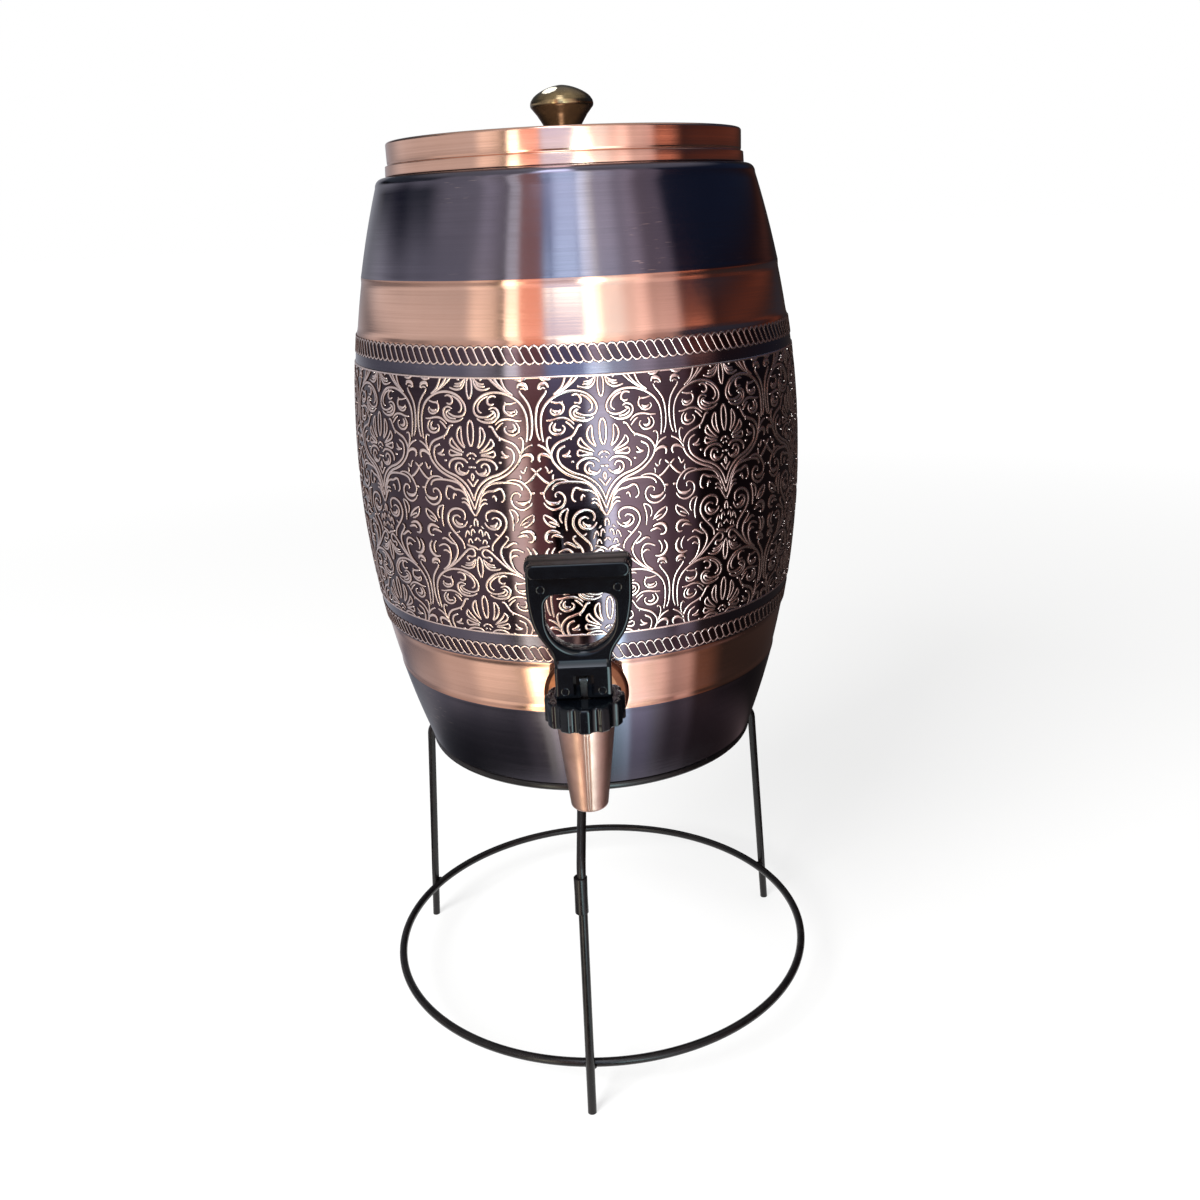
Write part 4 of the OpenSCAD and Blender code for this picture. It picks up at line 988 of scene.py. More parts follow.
LEVER_SIDE = [(10.9, 12.2), (10.95, 14.6), (11.35, 17.2), (12.5, 19.8), (14.2, 22.4), (15.95, 25),
              (17.3, 27.6), (18.5, 31), (19.25, 34.8), (19.7, 38.5), (19.9, 42), (19.9, 47), (19.8, 51.6)]


class DISPENSER_OT_lever(bpy.types.Operator):
    """Moulded black lever: a frame round the finger hole, a grip bar and the hinged block at its foot"""
    bl_idname = "dispenser.lever"
    bl_label = "Lever"

    def execute(self, context):
        parts = [lever_frame(), lever_block(), lever_grip()]
        parts += [ejector_mark(x, z, y) for x, z, y in
                  ((-14.4, 44.2, -3.95), (14.4, 44.2, -3.95), (-7.1, 3.6, -5.95), (7.1, 3.6, -5.95))]
        move = np.array([0, -TAP_Y, foot_of("lever")])
        parts = [(points + move, quads, zones) for points, quads, zones in parts]
        points, quads, _ = parts[2]
        dulled_from = points[:, 2].max() - 0.45
        parts[2] = points, quads, (points[quads][..., 2] > dulled_from).all(1)
        finishes = [finish("abs_black_gloss"), finish("abs_black_satin")]
        make_piece("lever_moulding", parts, finishes, "lever", ["lever"], crease=35)
        return {"FINISHED"}


def polar(outline, middle, turn):
    """Distance from a middle point to a closed outline in each direction, read off the outline's own
    angles."""
    rel = outline - middle
    angle = np.arctan2(rel[:, 0], -rel[:, 1]) % TAU
    order = np.argsort(angle)
    return np.interp(turn, angle[order], np.linalg.norm(rel, axis=1)[order], period=TAU)


def lever_frame():
    """The frame: at each direction about the finger hole, a rounded section between the hole and the outer
    outline. The hole's front edge flares out towards its foot."""
    side = smooth_path(LEVER_SIDE, 0.25)[0]
    head_x, head_z, heel_x, heel_z = 19.7, 51.7, 10.8, 12.2
    top = np.stack([np.linspace(head_x, -head_x, 160), np.full(160, head_z)], -1)
    foot = np.stack([np.linspace(-heel_x, heel_x, 90), np.full(90, heel_z)], -1)
    outer = np.concatenate([side, top, (side * [-1, 1])[::-1], foot])
    half_w, floor_z, bowl_h, ceiling, corner = 13.3, 19.4, 13.0, 41.9, 4.6
    a = np.linspace(-math.pi, 0, 200)[:, None]
    bowl = np.hstack([half_w * np.cos(a), floor_z + bowl_h + bowl_h * np.sin(a)])
    b = np.linspace(0, math.pi / 2, 50)[:, None]
    right = np.hstack([half_w - corner + corner * np.cos(b), ceiling - corner + corner * np.sin(b)])
    lift = np.linspace(floor_z + 13.1, ceiling - corner, 30)[:, None]
    upright = np.hstack([half_w + 0 * lift, lift])
    roof = np.stack([np.linspace(half_w - corner, corner - half_w, 100), np.full(100, ceiling)], -1)
    hole = np.concatenate([bowl, upright, right, roof, (right * [-1, 1])[::-1], (upright * [-1, 1])[::-1]])
    middle = np.array([0, 32.5])
    turn = full_turn(240)
    near, far = polar(hole, middle, turn), polar(outer, middle, turn)
    way = np.stack([np.sin(turn), -np.cos(turn)], -1)
    flare = 1.0 + 1.5 * np.clip(np.cos(turn), 0, 1) ** 2
    c = np.linspace(0, math.pi / 2, 6)
    depth, edge = 4.0, 1.25
    flat_by = 0.12
    loop = [(0, flare * (1 - np.sin(v)), -depth + flare * (1 - np.cos(v))) for v in c[::-1]]
    loop += [(0, flare + flat_by, -depth), (1, -edge - flat_by, -depth)]
    loop += [(1, -edge * (1 - np.sin(v)), -depth + edge * (1 - np.cos(v))) for v in c]
    loop += [(1, -edge * (1 - np.cos(v)), depth - edge * (1 - np.sin(v))) for v in c]
    loop += [(1, -edge - flat_by, depth), (0, edge + flat_by, depth)]
    loop += [(0, edge * (1 - np.sin(v)), depth - edge * (1 - np.cos(v))) for v in c]
    rows = []
    for at_far, inset, y in loop:
        run = np.where(at_far, far, near) + inset
        flat = middle + way * run[:, None]
        rows.append(np.stack([flat[:, 0], 0 * turn + y, flat[:, 1]], -1))
    return looped(np.stack(rows))


def lever_block():
    """The hinged block: sections across the lever, each a front run and a back run of heights. The front is
    set back for the window beside the tang and for the slot that the tang runs in."""
    lower = [0, 0.15, 0.6, 1.2, 2.0, 2.18, 2.22, 5.0, 8.88, 8.92, 9.98, 10.02, 12.0, 12.9, 13.15, 13.3]
    z = np.concatenate([lower, np.linspace(13.4, 17.6, 12)])
    x_half = np.array([0, 1.48, 1.52, 2.2, 2.95, 3.95, 6.0, 9.0, 10.0, 10.5, 10.75, 10.85])
    inset = np.array([0, 0, 0, 0, 0, 0, 0, 0, 0.03, 0.2, 0.45, 0.95])
    x = np.concatenate([-x_half[:0:-1], x_half])
    inset = np.concatenate([inset[:0:-1], inset])[:, None]
    foot_r, half_deep, high = 2, 6, 17.6
    foot = foot_r - np.sqrt(np.maximum(foot_r ** 2 - np.maximum(foot_r - z, 0) ** 2, 0))
    rise = np.clip((z - 13.3) / 4.3, 0, 1)
    ledge = np.interp(z, [12.9, 13.15, 13.3], [0, 0.05, 0.3]) + 2.0 * (1 - (1 - rise) ** 2.2)
    front = np.broadcast_to(-half_deep + foot + ledge, (len(x), len(z))).copy()
    wide, tall = np.abs(x)[:, None], z[None, :]
    window_w, window_deep, window_low, window_high = 3.95, 4.0, 2.2, 10
    slot_w, slot_high, slot_back = 1.5, 8.9, 2.8
    in_window = (tall > window_low) & (tall < window_high)
    front += np.clip(window_w - wide, 0, 1) * window_deep * in_window
    front = np.where((wide < slot_w) & (tall < slot_high), slot_back, front)
    back = np.broadcast_to(half_deep - foot - ledge, front.shape)
    up = np.clip(z[None, :], inset, high - inset)
    run_front = np.stack([np.broadcast_to(x[:, None], front.shape), front + inset, up], -1)
    run_back = np.stack([np.broadcast_to(x[:, None], front.shape), back - inset, up], -1)
    rings = np.concatenate([run_front, run_back[:, ::-1]], 1)
    rings[..., 0] *= np.interp(rings[..., 2], [12.2, 14.5, 17.6], [1, 0.985, 0.9])
    return pinched(rings)


def lever_grip():
    """The grip bar: rounded oblongs set one behind the other from back to front, drawn in at the edges, at
    a groove along its top and towards the thumb pad."""
    rows = [(5.0, 1.5, 1.2), (4.7, 0.6, 0.5), (4.1, 0.15, 0.1), (3.4, 0, 0), (1.9, 0, 0), (1.6, 0.28, 0.28),
            (1.0, 0.28, 0.28), (0.7, 0, 0), (-2.0, 0, 0), (-3.4, 0.05, 0), (-3.9, 0.3, 0.12),
            (-4.1, 0.75, 0.25), (-6.0, 0.95, 0.25), (-8.2, 1.1, 0.28), (-9.3, 1.2, 0.34), (-9.7, 1.3, 0.44),
            (-9.9, 1.5, 0.62), (-10.0, 1.85, 0.95), (-10.0, 2.05, 1.15)]
    half_x, half_z, middle_z, roundness = 20.2, 3.05, 52.75, 0.86
    rings = []
    for y, in_x, in_z in rows:
        hx, hz = half_x - in_x, half_z - in_z
        outline = rounded_profile([(-hx, -hz), (hx, -hz), (hx, hz), (-hx, hz)], roundness * hz, 8)
        rings.append(np.stack([outline[:, 0], np.full(len(outline), y), outline[:, 1] + middle_z], -1))
    return pinched(np.stack(rings))


def ejector_mark(x, z, y):
    """A ring left by an ejector pin: a low round bead bent to a circle on the front face."""
    turn, about = full_turn(28)[:, None], full_turn(8)
    ring_r, half_w, half_h = 1.45, 0.26, 0.2
    r = ring_r + half_w * np.cos(about)
    proud = y - half_h * np.sin(about) + 0 * turn
    return looped(np.stack([x + r * np.cos(turn), proud, z + r * np.sin(turn)], -1))


# Stand

LEG_LEAN = math.radians(4.4)
LEG_OUT = 4.25
LEAN_FROM_Z = 23.5
KNEE_Z = 126.0
KNEE_R = 10
JOINT_Z = 112.9
JOINT_GAP = 0.02
FRONT_TURN = 266.6
BACK_TURNS = {"leg_left": 151, "leg_right": 31}


def leg_run(z, ring_r):
    """Radius of a leg's centre line at a height: it leans in from the outside of the base ring."""
    return ring_r + LEG_OUT - (z - LEAN_FROM_Z) * math.tan(LEG_LEAN)


class DISPENSER_OT_stand(bpy.types.Operator):
    """Wire stand: two rings and three bent legs, welded, with a sleeve on the front leg"""
    bl_idname = "dispenser.stand"
    bl_label = "Stand"

    def execute(self, context):
        paint = [finish("paint_black_gloss")]
        wire = context.scene.dispenser_sizes.wire_d / MM / 2
        a = full_turn(20)
        rings = {}
        for name in ("stand_top_ring", "stand_base_ring"):
            low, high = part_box(name)
            rings[name] = (high.x / MM - wire, (low.z + high.z) / 2 / MM)
            ring_r, ring_z = rings[name]
            section = np.stack([ring_r + wire * np.cos(a), ring_z + wire * np.sin(a)], -1)
            ring = turned(section, WIRE_RING_SIDES, ring=True)
            make_piece(name + "_wire", [ring], paint, "stand", [name])
        base_r, base_z = rings["stand_base_ring"]
        top_r, top_z = rings["stand_top_ring"]
        bend = leg_path(base_r, top_r, top_z)
        legs = {}
        for node, turn in BACK_TURNS.items():
            legs[node] = [upright(bend, turn, wire), *welds(base_r, base_z, turn, wire),
                          top_weld(top_r, top_z, turn)]
        lower = np.array([[leg_run(z, base_r), z] for z in np.linspace(0, JOINT_Z, 12)])
        start = JOINT_Z + JOINT_GAP
        upper = np.concatenate([[[leg_run(start, base_r), start]], bend[bend[:, 1] > JOINT_Z]])
        legs["leg_front"] = [upright(lower, FRONT_TURN, wire), *welds(base_r, base_z, FRONT_TURN, wire)]
        legs["leg_front_stub"] = [upright(upper, FRONT_TURN, wire), top_weld(top_r, top_z, FRONT_TURN)]
        for node, parts in legs.items():
            make_piece(node + "_wire", parts, paint, "stand", [node], crease=60)
        sleeve = sleeve_part(base_r, FRONT_TURN)
        make_piece("leg_sleeve_pipe", [sleeve], paint, "stand", ["leg_sleeve"], crease=45)
        return {"FINISHED"}


def leg_path(base_r, top_r, top_z):
    """A leg's centre line in its own upright plane: a straight rise, a bend at the knee and a run to the
    ring."""
    knee = np.array([leg_run(KNEE_Z, base_r), KNEE_Z])
    end = np.array([top_r, top_z])
    short_by, steps = 2.15, 12
    end = end + (knee - end) / np.linalg.norm(knee - end) * short_by
    corners = np.array([[leg_run(0, base_r), 0], knee, end])
    arc = rounded_profile(corners, [0, KNEE_R, 0], steps)[steps:2 * steps]
    rise = np.linspace(corners[0], arc[0], 12)[:-1]
    run = np.linspace(arc[-1], end, 6)[1:]
    return np.concatenate([rise, arc, run])


def turned_to(turn):
    """Outward and sideways directions at a compass turn in degrees from the x axis."""
    t = math.radians(turn)
    return np.array([math.cos(t), math.sin(t), 0]), np.array([-math.sin(t), math.cos(t), 0])


def upright(path, turn, wire):
    """A wire along a path of [radius, height] points in the upright plane at a turn, cut flat on the
    floor."""
    out, side = turned_to(turn)
    points, quads, zones = tube(path[:, :1] * out + path[:, 1:] * [0, 0, 1], wire, side)
    return np.maximum(points, [-np.inf, -np.inf, 0]), quads, zones


def welds(base_r, base_z, turn, wire):
    """Two weld beads in the corners between a leg and the base ring."""
    out, side = turned_to(turn)
    axes = np.stack([out, side, [0, 0, 1.0]])
    spot = out * (base_r + wire) + np.array([0, 0, base_z])
    half = (1.5, 1.5, 1.3)
    return [bead(spot + side * off + [0, 0, up], half, axes) for off, up in ((-1.7, 0.5), (1.6, -0.4))]


def top_weld(top_r, top_z, turn):
    """A weld bead where a leg ends on the carrying ring."""
    out, side = turned_to(turn)
    half = (2.3, 2.9, 2.2)
    spot = out * (top_r + 1.6) + np.array([0, 0, top_z - 1.2])
    return bead(spot, half, np.stack([out, side, [0, 0, 1.0]]))


def sleeve_part(base_r, turn):
    """The sleeve over the front leg's joint: a pipe a little off its bore, pinched at half height."""
    out, side = turned_to(turn)
    low, high = foot_of("leg_sleeve"), top_of("leg_sleeve")
    outline = rounded_profile([(2.2, low), (3.1, low), (3.0, (low + high) / 2), (3.1, high), (2.2, high)],
                              [0.1, 0.4, 4, 0.3, 0.1], 6)
    angle = full_turn(32)
    r, z = outline[:, :1], outline[:, 1:]
    bore_r, off_bore = 2.4, -0.5
    shift = np.where(r > bore_r, off_bore, 0.0)
    away = leg_run(z, base_r) + r * np.cos(angle)
    flat = away[..., None] * out + (shift + r * np.sin(angle))[..., None] * side
    return looped(flat + (z + 0 * angle)[..., None] * [0, 0, 1])


# Pieces inside


def spring_part():
    """The return spring: a round wire along a helix. Its middle turns at an even radius and rises in
    proportion to the turn; its section is a circle in the upright plane through the axis."""
    low, high = foot_of("return_spring"), top_of("return_spring")
    wire_r, coil_r, turns = 0.45, 5.0, 4
    turn = np.linspace(0, TAU * turns, 48 * turns + 1)[:, None]
    about = full_turn(12)
    r = coil_r + wire_r * np.cos(about)
    rise = (high - low - 2 * wire_r) * turn / turn[-1]
    z = low + wire_r + rise + wire_r * np.sin(about)
    return pinched(np.stack([r * np.cos(turn), r * np.sin(turn) - TAP_Y, z], -1))


class DISPENSER_OT_inside(bpy.types.Operator):
    """Return spring, and the finishes of the inner solids that stay as they are"""
    bl_idname = "dispenser.inside"
    bl_label = "Inner pieces"

    def execute(self, context):
        finish_of = {
            "base_plate": "oxidised_copper_brushed", "mouth_neck": "copper_brushed",
            "knob_washer": "brass_turned_aged", "knob_screw": "steel_drawn", "lever_pin": "steel_drawn",
            "outer_gasket": "rubber_black", "inner_gasket": "rubber_black", "shank_nut": "nylon_white",
            "valve_stem": "acetal_brown_black", "seat_cup": "silicone_clear_white",
        }
        for node, name in finish_of.items():
            mesh = bpy.data.objects[node].data
            mesh.materials.clear()
            mesh.materials.append(finish(name))
        spring = make_piece("return_spring_coil", [spring_part()], [finish("steel_drawn")], "vessel",
                            ["return_spring"])
        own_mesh(spring)
        return {"FINISHED"}


# Stage


class DISPENSER_OT_stage(bpy.types.Operator):
    """Pale floor, soft studio light and the camera"""
    bl_idname = "dispenser.stage"
    bl_label = "Stage"

    def execute(self, context):
        scene = context.scene
        scene.view_settings.view_transform = "Standard"
        camera_at_photo(scene)
        pale_world(scene)
        pale_floor(scene.dispenser_colours)
        key_light()
        light_tent()
        return {"FINISHED"}


def placed(thing, x_axis, y_axis, z_axis, at):
    """Puts an object into the scene at a place, with its own axes along three directions."""
    place = np.eye(4)
    place[:3] = np.stack([x_axis, y_axis, z_axis, at], -1)
    thing.matrix_world = Matrix(place.tolist())
    bpy.context.scene.collection.objects.link(thing)


def round_cloth(name, r, angle, z, material):
    """An object of the stage: a grid of circles about the axis in metres."""
    verts, quads, _ = grid(around(r, angle, z), wrap_columns=True)
    mesh = bpy.data.meshes.new(name)
    mesh.from_pydata(verts.tolist(), [], quads.tolist())
    mesh.materials.append(material)
    cloth = bpy.data.objects.new(name, mesh)
    bpy.context.scene.collection.objects.link(cloth)
    return cloth


def camera_at_photo(scene):
    """Camera 563 mm from the barrel's axis and 404 mm above the floor, looking 18.5 degrees down, rolled
    2.6."""
    away, height = 563.2 * MM, 404.2 * MM
    offset, pitch, yaw, roll = (math.radians(v) for v in (0.9, 18.47, 0.73 - 0.9, -2.56))
    ahead = np.array([math.sin(yaw) * math.cos(pitch), math.cos(yaw) * math.cos(pitch), -math.sin(pitch)])
    right = np.array([math.cos(yaw), -math.sin(yaw), 0])
    above = np.cross(right, ahead)
    side = right * math.cos(roll) + above * math.sin(roll)
    above = above * math.cos(roll) - right * math.sin(roll)
    sensor, focal, picture = 36, 1168.1, 1200
    data = bpy.data.cameras.new("camera")
    data.sensor_width = sensor
    data.lens = sensor * focal / picture
    data.clip_start, data.clip_end = 0.01, 50
    camera = bpy.data.objects.new("camera", data)
    placed(camera, side, above, -ahead, (away * math.sin(offset), -away * math.cos(offset), height))
    scene.camera = camera


def seen_rays(tree):
    """One for rays from the camera and for mirrored and refracted ones, nought for the light that falls."""
    rays = add(tree, "LightPath").outputs
    first = add(tree, "Math", (rays["Is Camera Ray"], rays["Is Glossy Ray"]), operation="MAXIMUM")
    return add(tree, "Math", (first, rays["Is Transmission Ray"]), operation="MAXIMUM")


def pale_world(scene):
    """A white surround, seen at full white and giving a softer fill light."""
    world = bpy.data.worlds.new("studio")
    scene.world = world
    world.use_nodes = True
    tree = world.node_tree
    tree.nodes.clear()
    strength = add(tree, "MapRange", (seen_rays(tree), 0.0, 1.0, 0.55, 1.0))
    light = add(tree, "Background", {"Color": (1, 1, 1), "Strength": strength})
    add(tree, "OutputWorld", {"Surface": light})


def pale_floor(colours):
    """A wide disc of floor. Of what is seen of it, about two thirds near the stand and all of it farther
    off is plain white light, so that shadows stay faint."""
    material, tree, shader, place = empty_finish("floor_paper", Roughness=0.9, Specular_IOR_Level=0.0)
    paper = np.array(colours.floor)
    grain = add(tree, "TexNoise", {"Vector": place, "Scale": per(PAPER_GRAIN), "Detail": 2.0})
    shade = add(tree, "Mix", {0: grain, 6: paper, 7: 0.985 * paper}, data_type="RGBA").outputs[2]
    feed(tree, shader, {"Base Color": shade})
    glow = add(tree, "Emission", {"Color": (1, 1, 1), "Strength": 1.05})
    far = add(tree, "VectorMath", [place], operation="LENGTH").outputs["Value"]
    pale = add(tree, "MapRange", (far, 0.6, 2.0, 0.64, 1.0), interpolation_type="SMOOTHSTEP")
    share = add(tree, "Math", (seen_rays(tree), pale), operation="MULTIPLY")
    mix = add(tree, "MixShader", (share, shader, glow))
    feed(tree, tree.nodes["Material Output"], {"Surface": mix})
    radius = np.array([0.0, 0.4, 0.8, 1.6, 3.2, 8.0, 20.0])[:, None]
    floor = round_cloth("floor", radius, full_turn(64), 0 * radius, material)
    merge_corners(floor.data)


def key_light():
    """A big soft light from the left and above that faces the barrel, kept out of the reflections."""
    azimuth, distance, height, side, aim = math.radians(-36), 1.7, 1.3, 0.9, 0.3
    data = bpy.data.lights.new("key", "AREA")
    data.shape = "RECTANGLE"
    data.size = data.size_y = side
    data.energy = 60
    light = bpy.data.objects.new("key", data)
    light.visible_camera = light.visible_glossy = False
    at = around(distance, azimuth, height)
    back = at - [0, 0, aim]
    back /= np.linalg.norm(back)
    across = np.cross([0, 0, 1.0], back)
    across /= np.linalg.norm(across)
    placed(light, across, np.cross(back, across), back, at)


# Lit panels of the tent: compass angle, half width and softness in degrees; lowest and highest height and
# softness in metres; and tone. A lowest height of -1 takes in the floor, whose rows lie at slightly
# different heights, so that a panel under a centimetre high lights only some of them. A tone below nought
# takes light away. The last panel is a lamp in the roof.
TENT_PANELS = [
    (-114, 76, 9, -1, 0.9, 0.06, (0.26, 0.27, 0.30)),
    (-114, 76, 9, 0.9, 9, 0.06, (0.05, 0.070, 0.09)),
    (-105, 30, 12, 0.30, 0.44, 0.02, (-0.14, -0.14, -0.14)),
    (-64, 28, 8, -1, 0.3, 0.06, (0.19, 0.165, 0.145)),
    (-64, 28, 8, -1, 0.0045, 0.0003, (-0.19, -0.165, -0.145)),
    (-110, 30, 15, -1, 0.0045, 0.0003, (-0.10, -0.10, -0.10)),
    (-38, 7, 5, -1, 0.0045, 0.0003, (0.60, 0.54, 0.56)),
    (-33, 3, 1.5, 0.005, 0.0075, 0.0003, (1.50, 1.30, 1.00)),
    (-86, 44, 12, 0.45, 0.86, 0.06, (0.29, 0.29, 0.30)),
    (-122, 24, 10, 0.68, 0.92, 0.04, (-0.42, -0.42, -0.43)),
    (-86, 44, 12, 0.005, 0.0075, 0.0003, (0.14, 0.12, 0.12)),
    (-50, 16, 6, 0.005, 0.0075, 0.0003, (0.36, 0.33, 0.28)),
    (-44, 8, 4, 0.45, 0.9, 0.06, (0.50, 0.45, 0.38)),
    (-60, 21, 9, 0.9, 1.5, 0.06, (0.52, 0.49, 0.50)),
    (-41, 8, 4, 0.9, 1.5, 0.06, (0.42, 0.38, 0.40)),
    (-29.5, 3.4, 1.2, -1, 1.5, 0.1, (1.05, 1.05, 0.95)),
    (-29.5, 3.4, 1.2, 0.33, 1.5, 0.1, (0.62, 0.62, 0.62)),
    (-30, 3.2, 1.0, 0.32, 0.44, 0.03, (1.60, 1.90, 1.60)),
    (-29.5, 3.4, 1.2, 0.44, 0.62, 0.05, (1.30, 1.20, 1.00)),
    (-28, 5.2, 1.6, -1, 0.3, 0.05, (2.80, 2.75, 2.00)),
    (-25, 3.0, 2.0, -1, 0.0045, 0.0003, (4.50, 4.20, 4.00)),
    (-20, 6.5, 2, -1, 1.5, 0.1, (0.46, 0.20, 0.18)),
    (-20, 6.5, 2, -1, 0.3, 0.05, (0.20, 0.14, 0.12)),
    (-20, 6.5, 2, 0.33, 1.5, 0.1, (0.46, 0.27, 0.20)),
    (-20, 6.5, 2, 0.42, 0.62, 0.06, (0.20, 0.28, 0.32)),
    (-2, 11, 3, 0.06, 0.33, 0.06, (0.18, 0.20, 0.30)),
    (-3, 10, 4, -1, 0.3, 0.05, (0.10, 0.07, 0.06)),
    (-3, 9, 3, 0.6, 0.84, 0.05, (-0.34, -0.38, -0.24)),
    (0, 13, 2.5, 0.33, 1.5, 0.08, (0.85, 1.02, 1.38)),
    (2, 9, 4, 0.95, 1.5, 0.06, (1.35, 1.65, 1.75)),
    (-3, 10, 2.5, 0.86, 1.02, 0.05, (1.35, 1.95, 1.95)),
    (-9, 0.6, 0.4, 0.86, 1.3, 0.05, (-1.20, -1.50, -1.50)),
    (5.5, 0.6, 0.4, 0.86, 1.3, 0.05, (-1.20, -1.50, -1.50)),
    (11.5, 4.4, 1.4, 0.33, 1.5, 0.1, (1.00, 1.05, 0.85)),
    (11.5, 4, 2, 0.95, 1.5, 0.06, (0.60, 0.50, 0.20)),
    (11.5, 5.8, 1.5, -1, 0.44, 0.06, (3.30, 5.00, 5.20)),
    (25, 10, 5, -1, 0.3, 0.06, (0.75, 0.84, 0.78)),
    (25, 14, 6, -1, 1.5, 0.1, (0.86, 0.78, 0.82)),
    (21, 6, 4, -1, 0.33, 0.1, (0.32, 0.32, 0.38)),
    (21, 6, 4, 0.33, 0.9, 0.06, (0.10, 0.34, 0.44)),
    (21, 6, 4, 0.9, 1.5, 0.06, (0.65, 0.65, 0.65)),
    (22, 9, 5, -1, 0.0045, 0.0003, (0.70, 0.65, 1.10)),
    (24, 12, 5, 0.005, 0.0075, 0.0003, (-0.66, -0.72, -0.68)),
    (52, 12, 6, 0.43, 0.49, 0.03, (-0.14, -0.12, -0.12)),
    (40, 9, 6, 0.44, 0.62, 0.06, (0.25, 0.25, 0.25)),
    (46, 11, 4, -1, 1.5, 0.1, (0.42, 0.34, 0.36)),
    (50, 6, 3, 0.45, 0.86, 0.06, (0.20, 0.17, 0.18)),
    (62, 10, 8, 0.005, 0.0075, 0.0003, (0.12, 0.06, 0.04)),
    (64, 8, 7, 0.50, 0.58, 0.03, (1.15, 0.52, 0.38)),
    (112, 34, 14, 0.50, 0.58, 0.03, (0.08, 0.026, 0.018)),
    (62, 5, 4, 0.66, 0.84, 0.06, (0.10, 0.030, 0.012)),
    (95, 45, 10, -1, 0.0045, 0.0003, (0.25, 0.17, 0.18)),
    (100, 48, 12, 0.74, 9, 0.04, (0.0, 0.018, 0.055)),
    (100, 48, 12, 0.3, 0.42, 0.03, (0.0, 0.008, 0.022)),
    (104, 52, 12, 0.45, 0.66, 0.04, (0.005, -0.008, -0.011)),
    (14, 10, 5, 0.34, 0.46, 0.04, (0.60, 0.50, 0.40)),
    (-84, 62, 10, 0.0085, 0.0092, 0.0002, (-0.19, -0.19, -0.19)),
    (-28, 5.2, 1.6, 0.0085, 0.0092, 0.0002, (-3.60, -3.60, -2.80)),
    (29, 15, 6, 0.0085, 0.0092, 0.0002, (-1.40, -1.40, -1.40)),
    (-8, 14, 5, 2.02, 2.8, 0.1, (12.0, 13.0, 15.0)),
]
TENT_DARK = (0.026, 0.021, 0.021)
TENT_ROOF = (1.3, 1.3, 1.3)
# Rows of the tent's cloth: radius and height in metres, how far it is dimmed, its share of the even roof,
# and how far the panels are turned to the right there, in degrees
TENT_ROWS = [
    (0.16, 0.001, 0.25, 0, 6), (0.225, 0.002, 0.3, 0, 6), (0.26, 0.003, 0.55, 0, 5), (0.3, 0.006, 1.0, 0, 3),
    (0.36, 0.007, 1.0, 0, 2), (0.46, 0.009, 1.5, 0, 0), (0.52, 0.0096, 1.5, 0, 0), (0.9, 0.01, 1.5, 0, 0),
    (1.3, 0.01, 1.5, 0, 0), (1.5, 0.03, 1.5, 0, 0), (1.5, 0.12, 1.5, 0, 0), (1.5, 0.2, 1.5, 0, 0),
    (1.5, 0.28, 1.4, 0, 0),
    (1.5, 0.34, 1.1, 0, 0), (1.5, 0.4, 1.0, 0, 0), (1.5, 0.46, 1.25, 0, 0), (1.5, 0.54, 1.3, 0, 0),
    (1.5, 0.62, 1.15, 0, 0), (1.5, 0.75, 1.0, 0, 0), (1.5, 0.86, 1.0, 0, 0), (1.5, 0.97, 1.0, 0, 0),
    (1.5, 1.08, 1.0, 0, 0), (1.5, 1.4, 1.0, 0, 0), (1.45, 2.0, 0.9, 0.3, 0), (1.1, 2.6, 0.8, 0.4, 0),
    (0.5, 2.9, 0.7, 0.7, 0), (0.0, 3.0, 0.7, 1, 0),
]


def soft_edge(off, half, soft):
    """One within a half width, nought outside it, eased as 3 t^2 - 2 t^3 over the softness on both
    sides."""
    return eased(np.clip((half + soft - np.abs(off)) / (2 * soft), 0, 1))


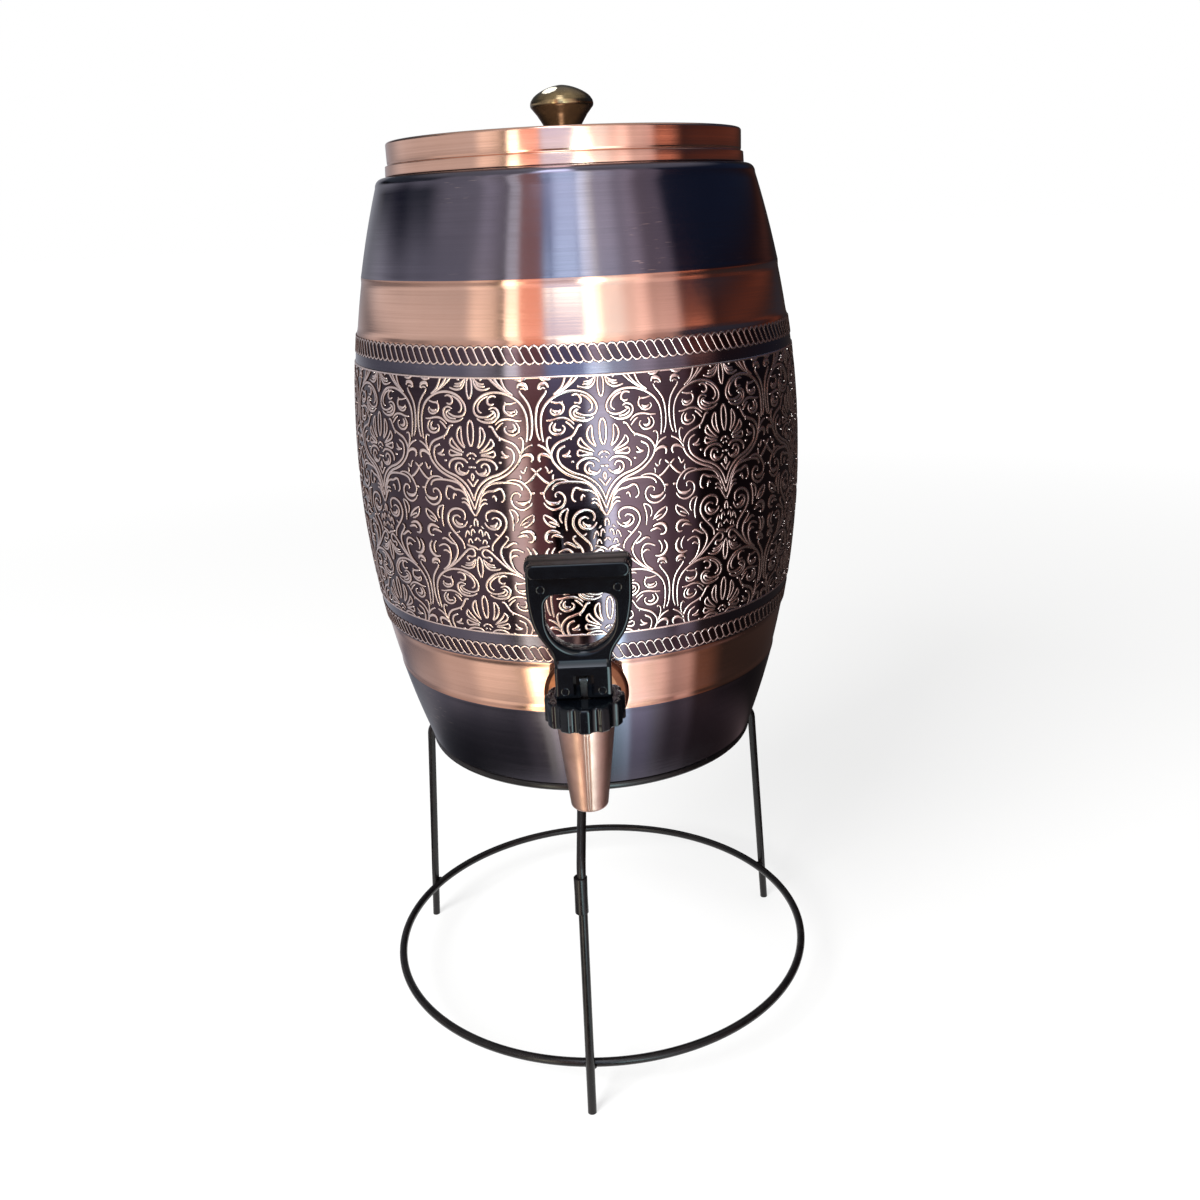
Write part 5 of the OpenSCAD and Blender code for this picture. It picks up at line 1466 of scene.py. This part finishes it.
def light_tent():
    """A round tent of lit cloth that only the metal sees. Its glow is a dark tone plus soft-edged panels by
    compass angle, from nought in front and growing to the right, and by height; rows from the floor to the
    roof dim it and even it out. Bright strips and a dark side give the metal its upright highlights."""
    radius, height, dim, even, ahead = np.array(TENT_ROWS, float).T[..., None]
    turn = np.linspace(-180, 180, 721)[:-1]
    glow = np.zeros((len(TENT_ROWS), len(turn), 3)) + TENT_DARK
    for angle, half, soft, low, high, blur, tone in TENT_PANELS:
        across = soft_edge((turn - ahead - angle + 180) % 360 - 180, half, soft)
        up = soft_edge(height - (low + high) / 2, (high - low) / 2, blur)
        glow = glow + (across * up)[..., None] * tone
    even = even[..., None]
    glow = (np.maximum(glow, 0) * (1 - even) + np.array(TENT_ROOF) * even) * dim[..., None]
    glow = np.concatenate([glow, np.ones((*glow.shape[:2], 1))], -1)
    material = bpy.data.materials.new("tent_cloth")
    material.use_nodes = True
    tree = material.node_tree
    tree.nodes.clear()
    light = add(tree, "Emission", {"Color": add(tree, "Attribute", attribute_name="glow"), "Strength": 1.0})
    add(tree, "OutputMaterial", {"Surface": light})
    tent = round_cloth("light_tent", radius, np.radians(turn), height, material)
    shade = tent.data.color_attributes.new("glow", "FLOAT_COLOR", "POINT")
    shade.data.foreach_set("color", glow.astype(np.float32).ravel())
    tent.visible_camera = tent.visible_diffuse = tent.visible_shadow = tent.visible_transmission = False


# Panel of the sidebar


class DISPENSER_PT_panel(bpy.types.Panel):
    bl_label = "Dispenser"
    bl_idname = "DISPENSER_PT_panel"
    bl_space_type = "VIEW_3D"
    bl_region_type = "UI"
    bl_category = "Dispenser"

    def draw(self, context):
        for group in (context.scene.dispenser_sizes, context.scene.dispenser_colours):
            box = self.layout.box()
            for name in group.__annotations__:
                box.prop(group, name)
        for operator in OPERATORS:
            self.layout.operator(operator.bl_idname)


OPERATORS = (
    DISPENSER_OT_stage, DISPENSER_OT_barrel, DISPENSER_OT_damask, DISPENSER_OT_borders, DISPENSER_OT_lid,
    DISPENSER_OT_tap, DISPENSER_OT_lever, DISPENSER_OT_stand, DISPENSER_OT_inside,
)
CLASSES = (DispenserSizes, DispenserColours, *OPERATORS, DISPENSER_PT_panel)


def register():
    for one in CLASSES:
        bpy.utils.register_class(one)
    bpy.types.Scene.dispenser_sizes = PointerProperty(type=DispenserSizes)
    bpy.types.Scene.dispenser_colours = PointerProperty(type=DispenserColours)


def unregister():
    del bpy.types.Scene.dispenser_colours
    del bpy.types.Scene.dispenser_sizes
    for one in reversed(CLASSES):
        bpy.utils.unregister_class(one)


def main():
    register()
    bpy.ops.dispenser.stage()
    bpy.ops.dispenser.barrel()
    bpy.ops.dispenser.damask()
    bpy.ops.dispenser.borders()
    bpy.ops.dispenser.lid()
    bpy.ops.dispenser.tap()
    bpy.ops.dispenser.lever()
    bpy.ops.dispenser.stand()
    bpy.ops.dispenser.inside()


if __name__ == "__main__":
    main()
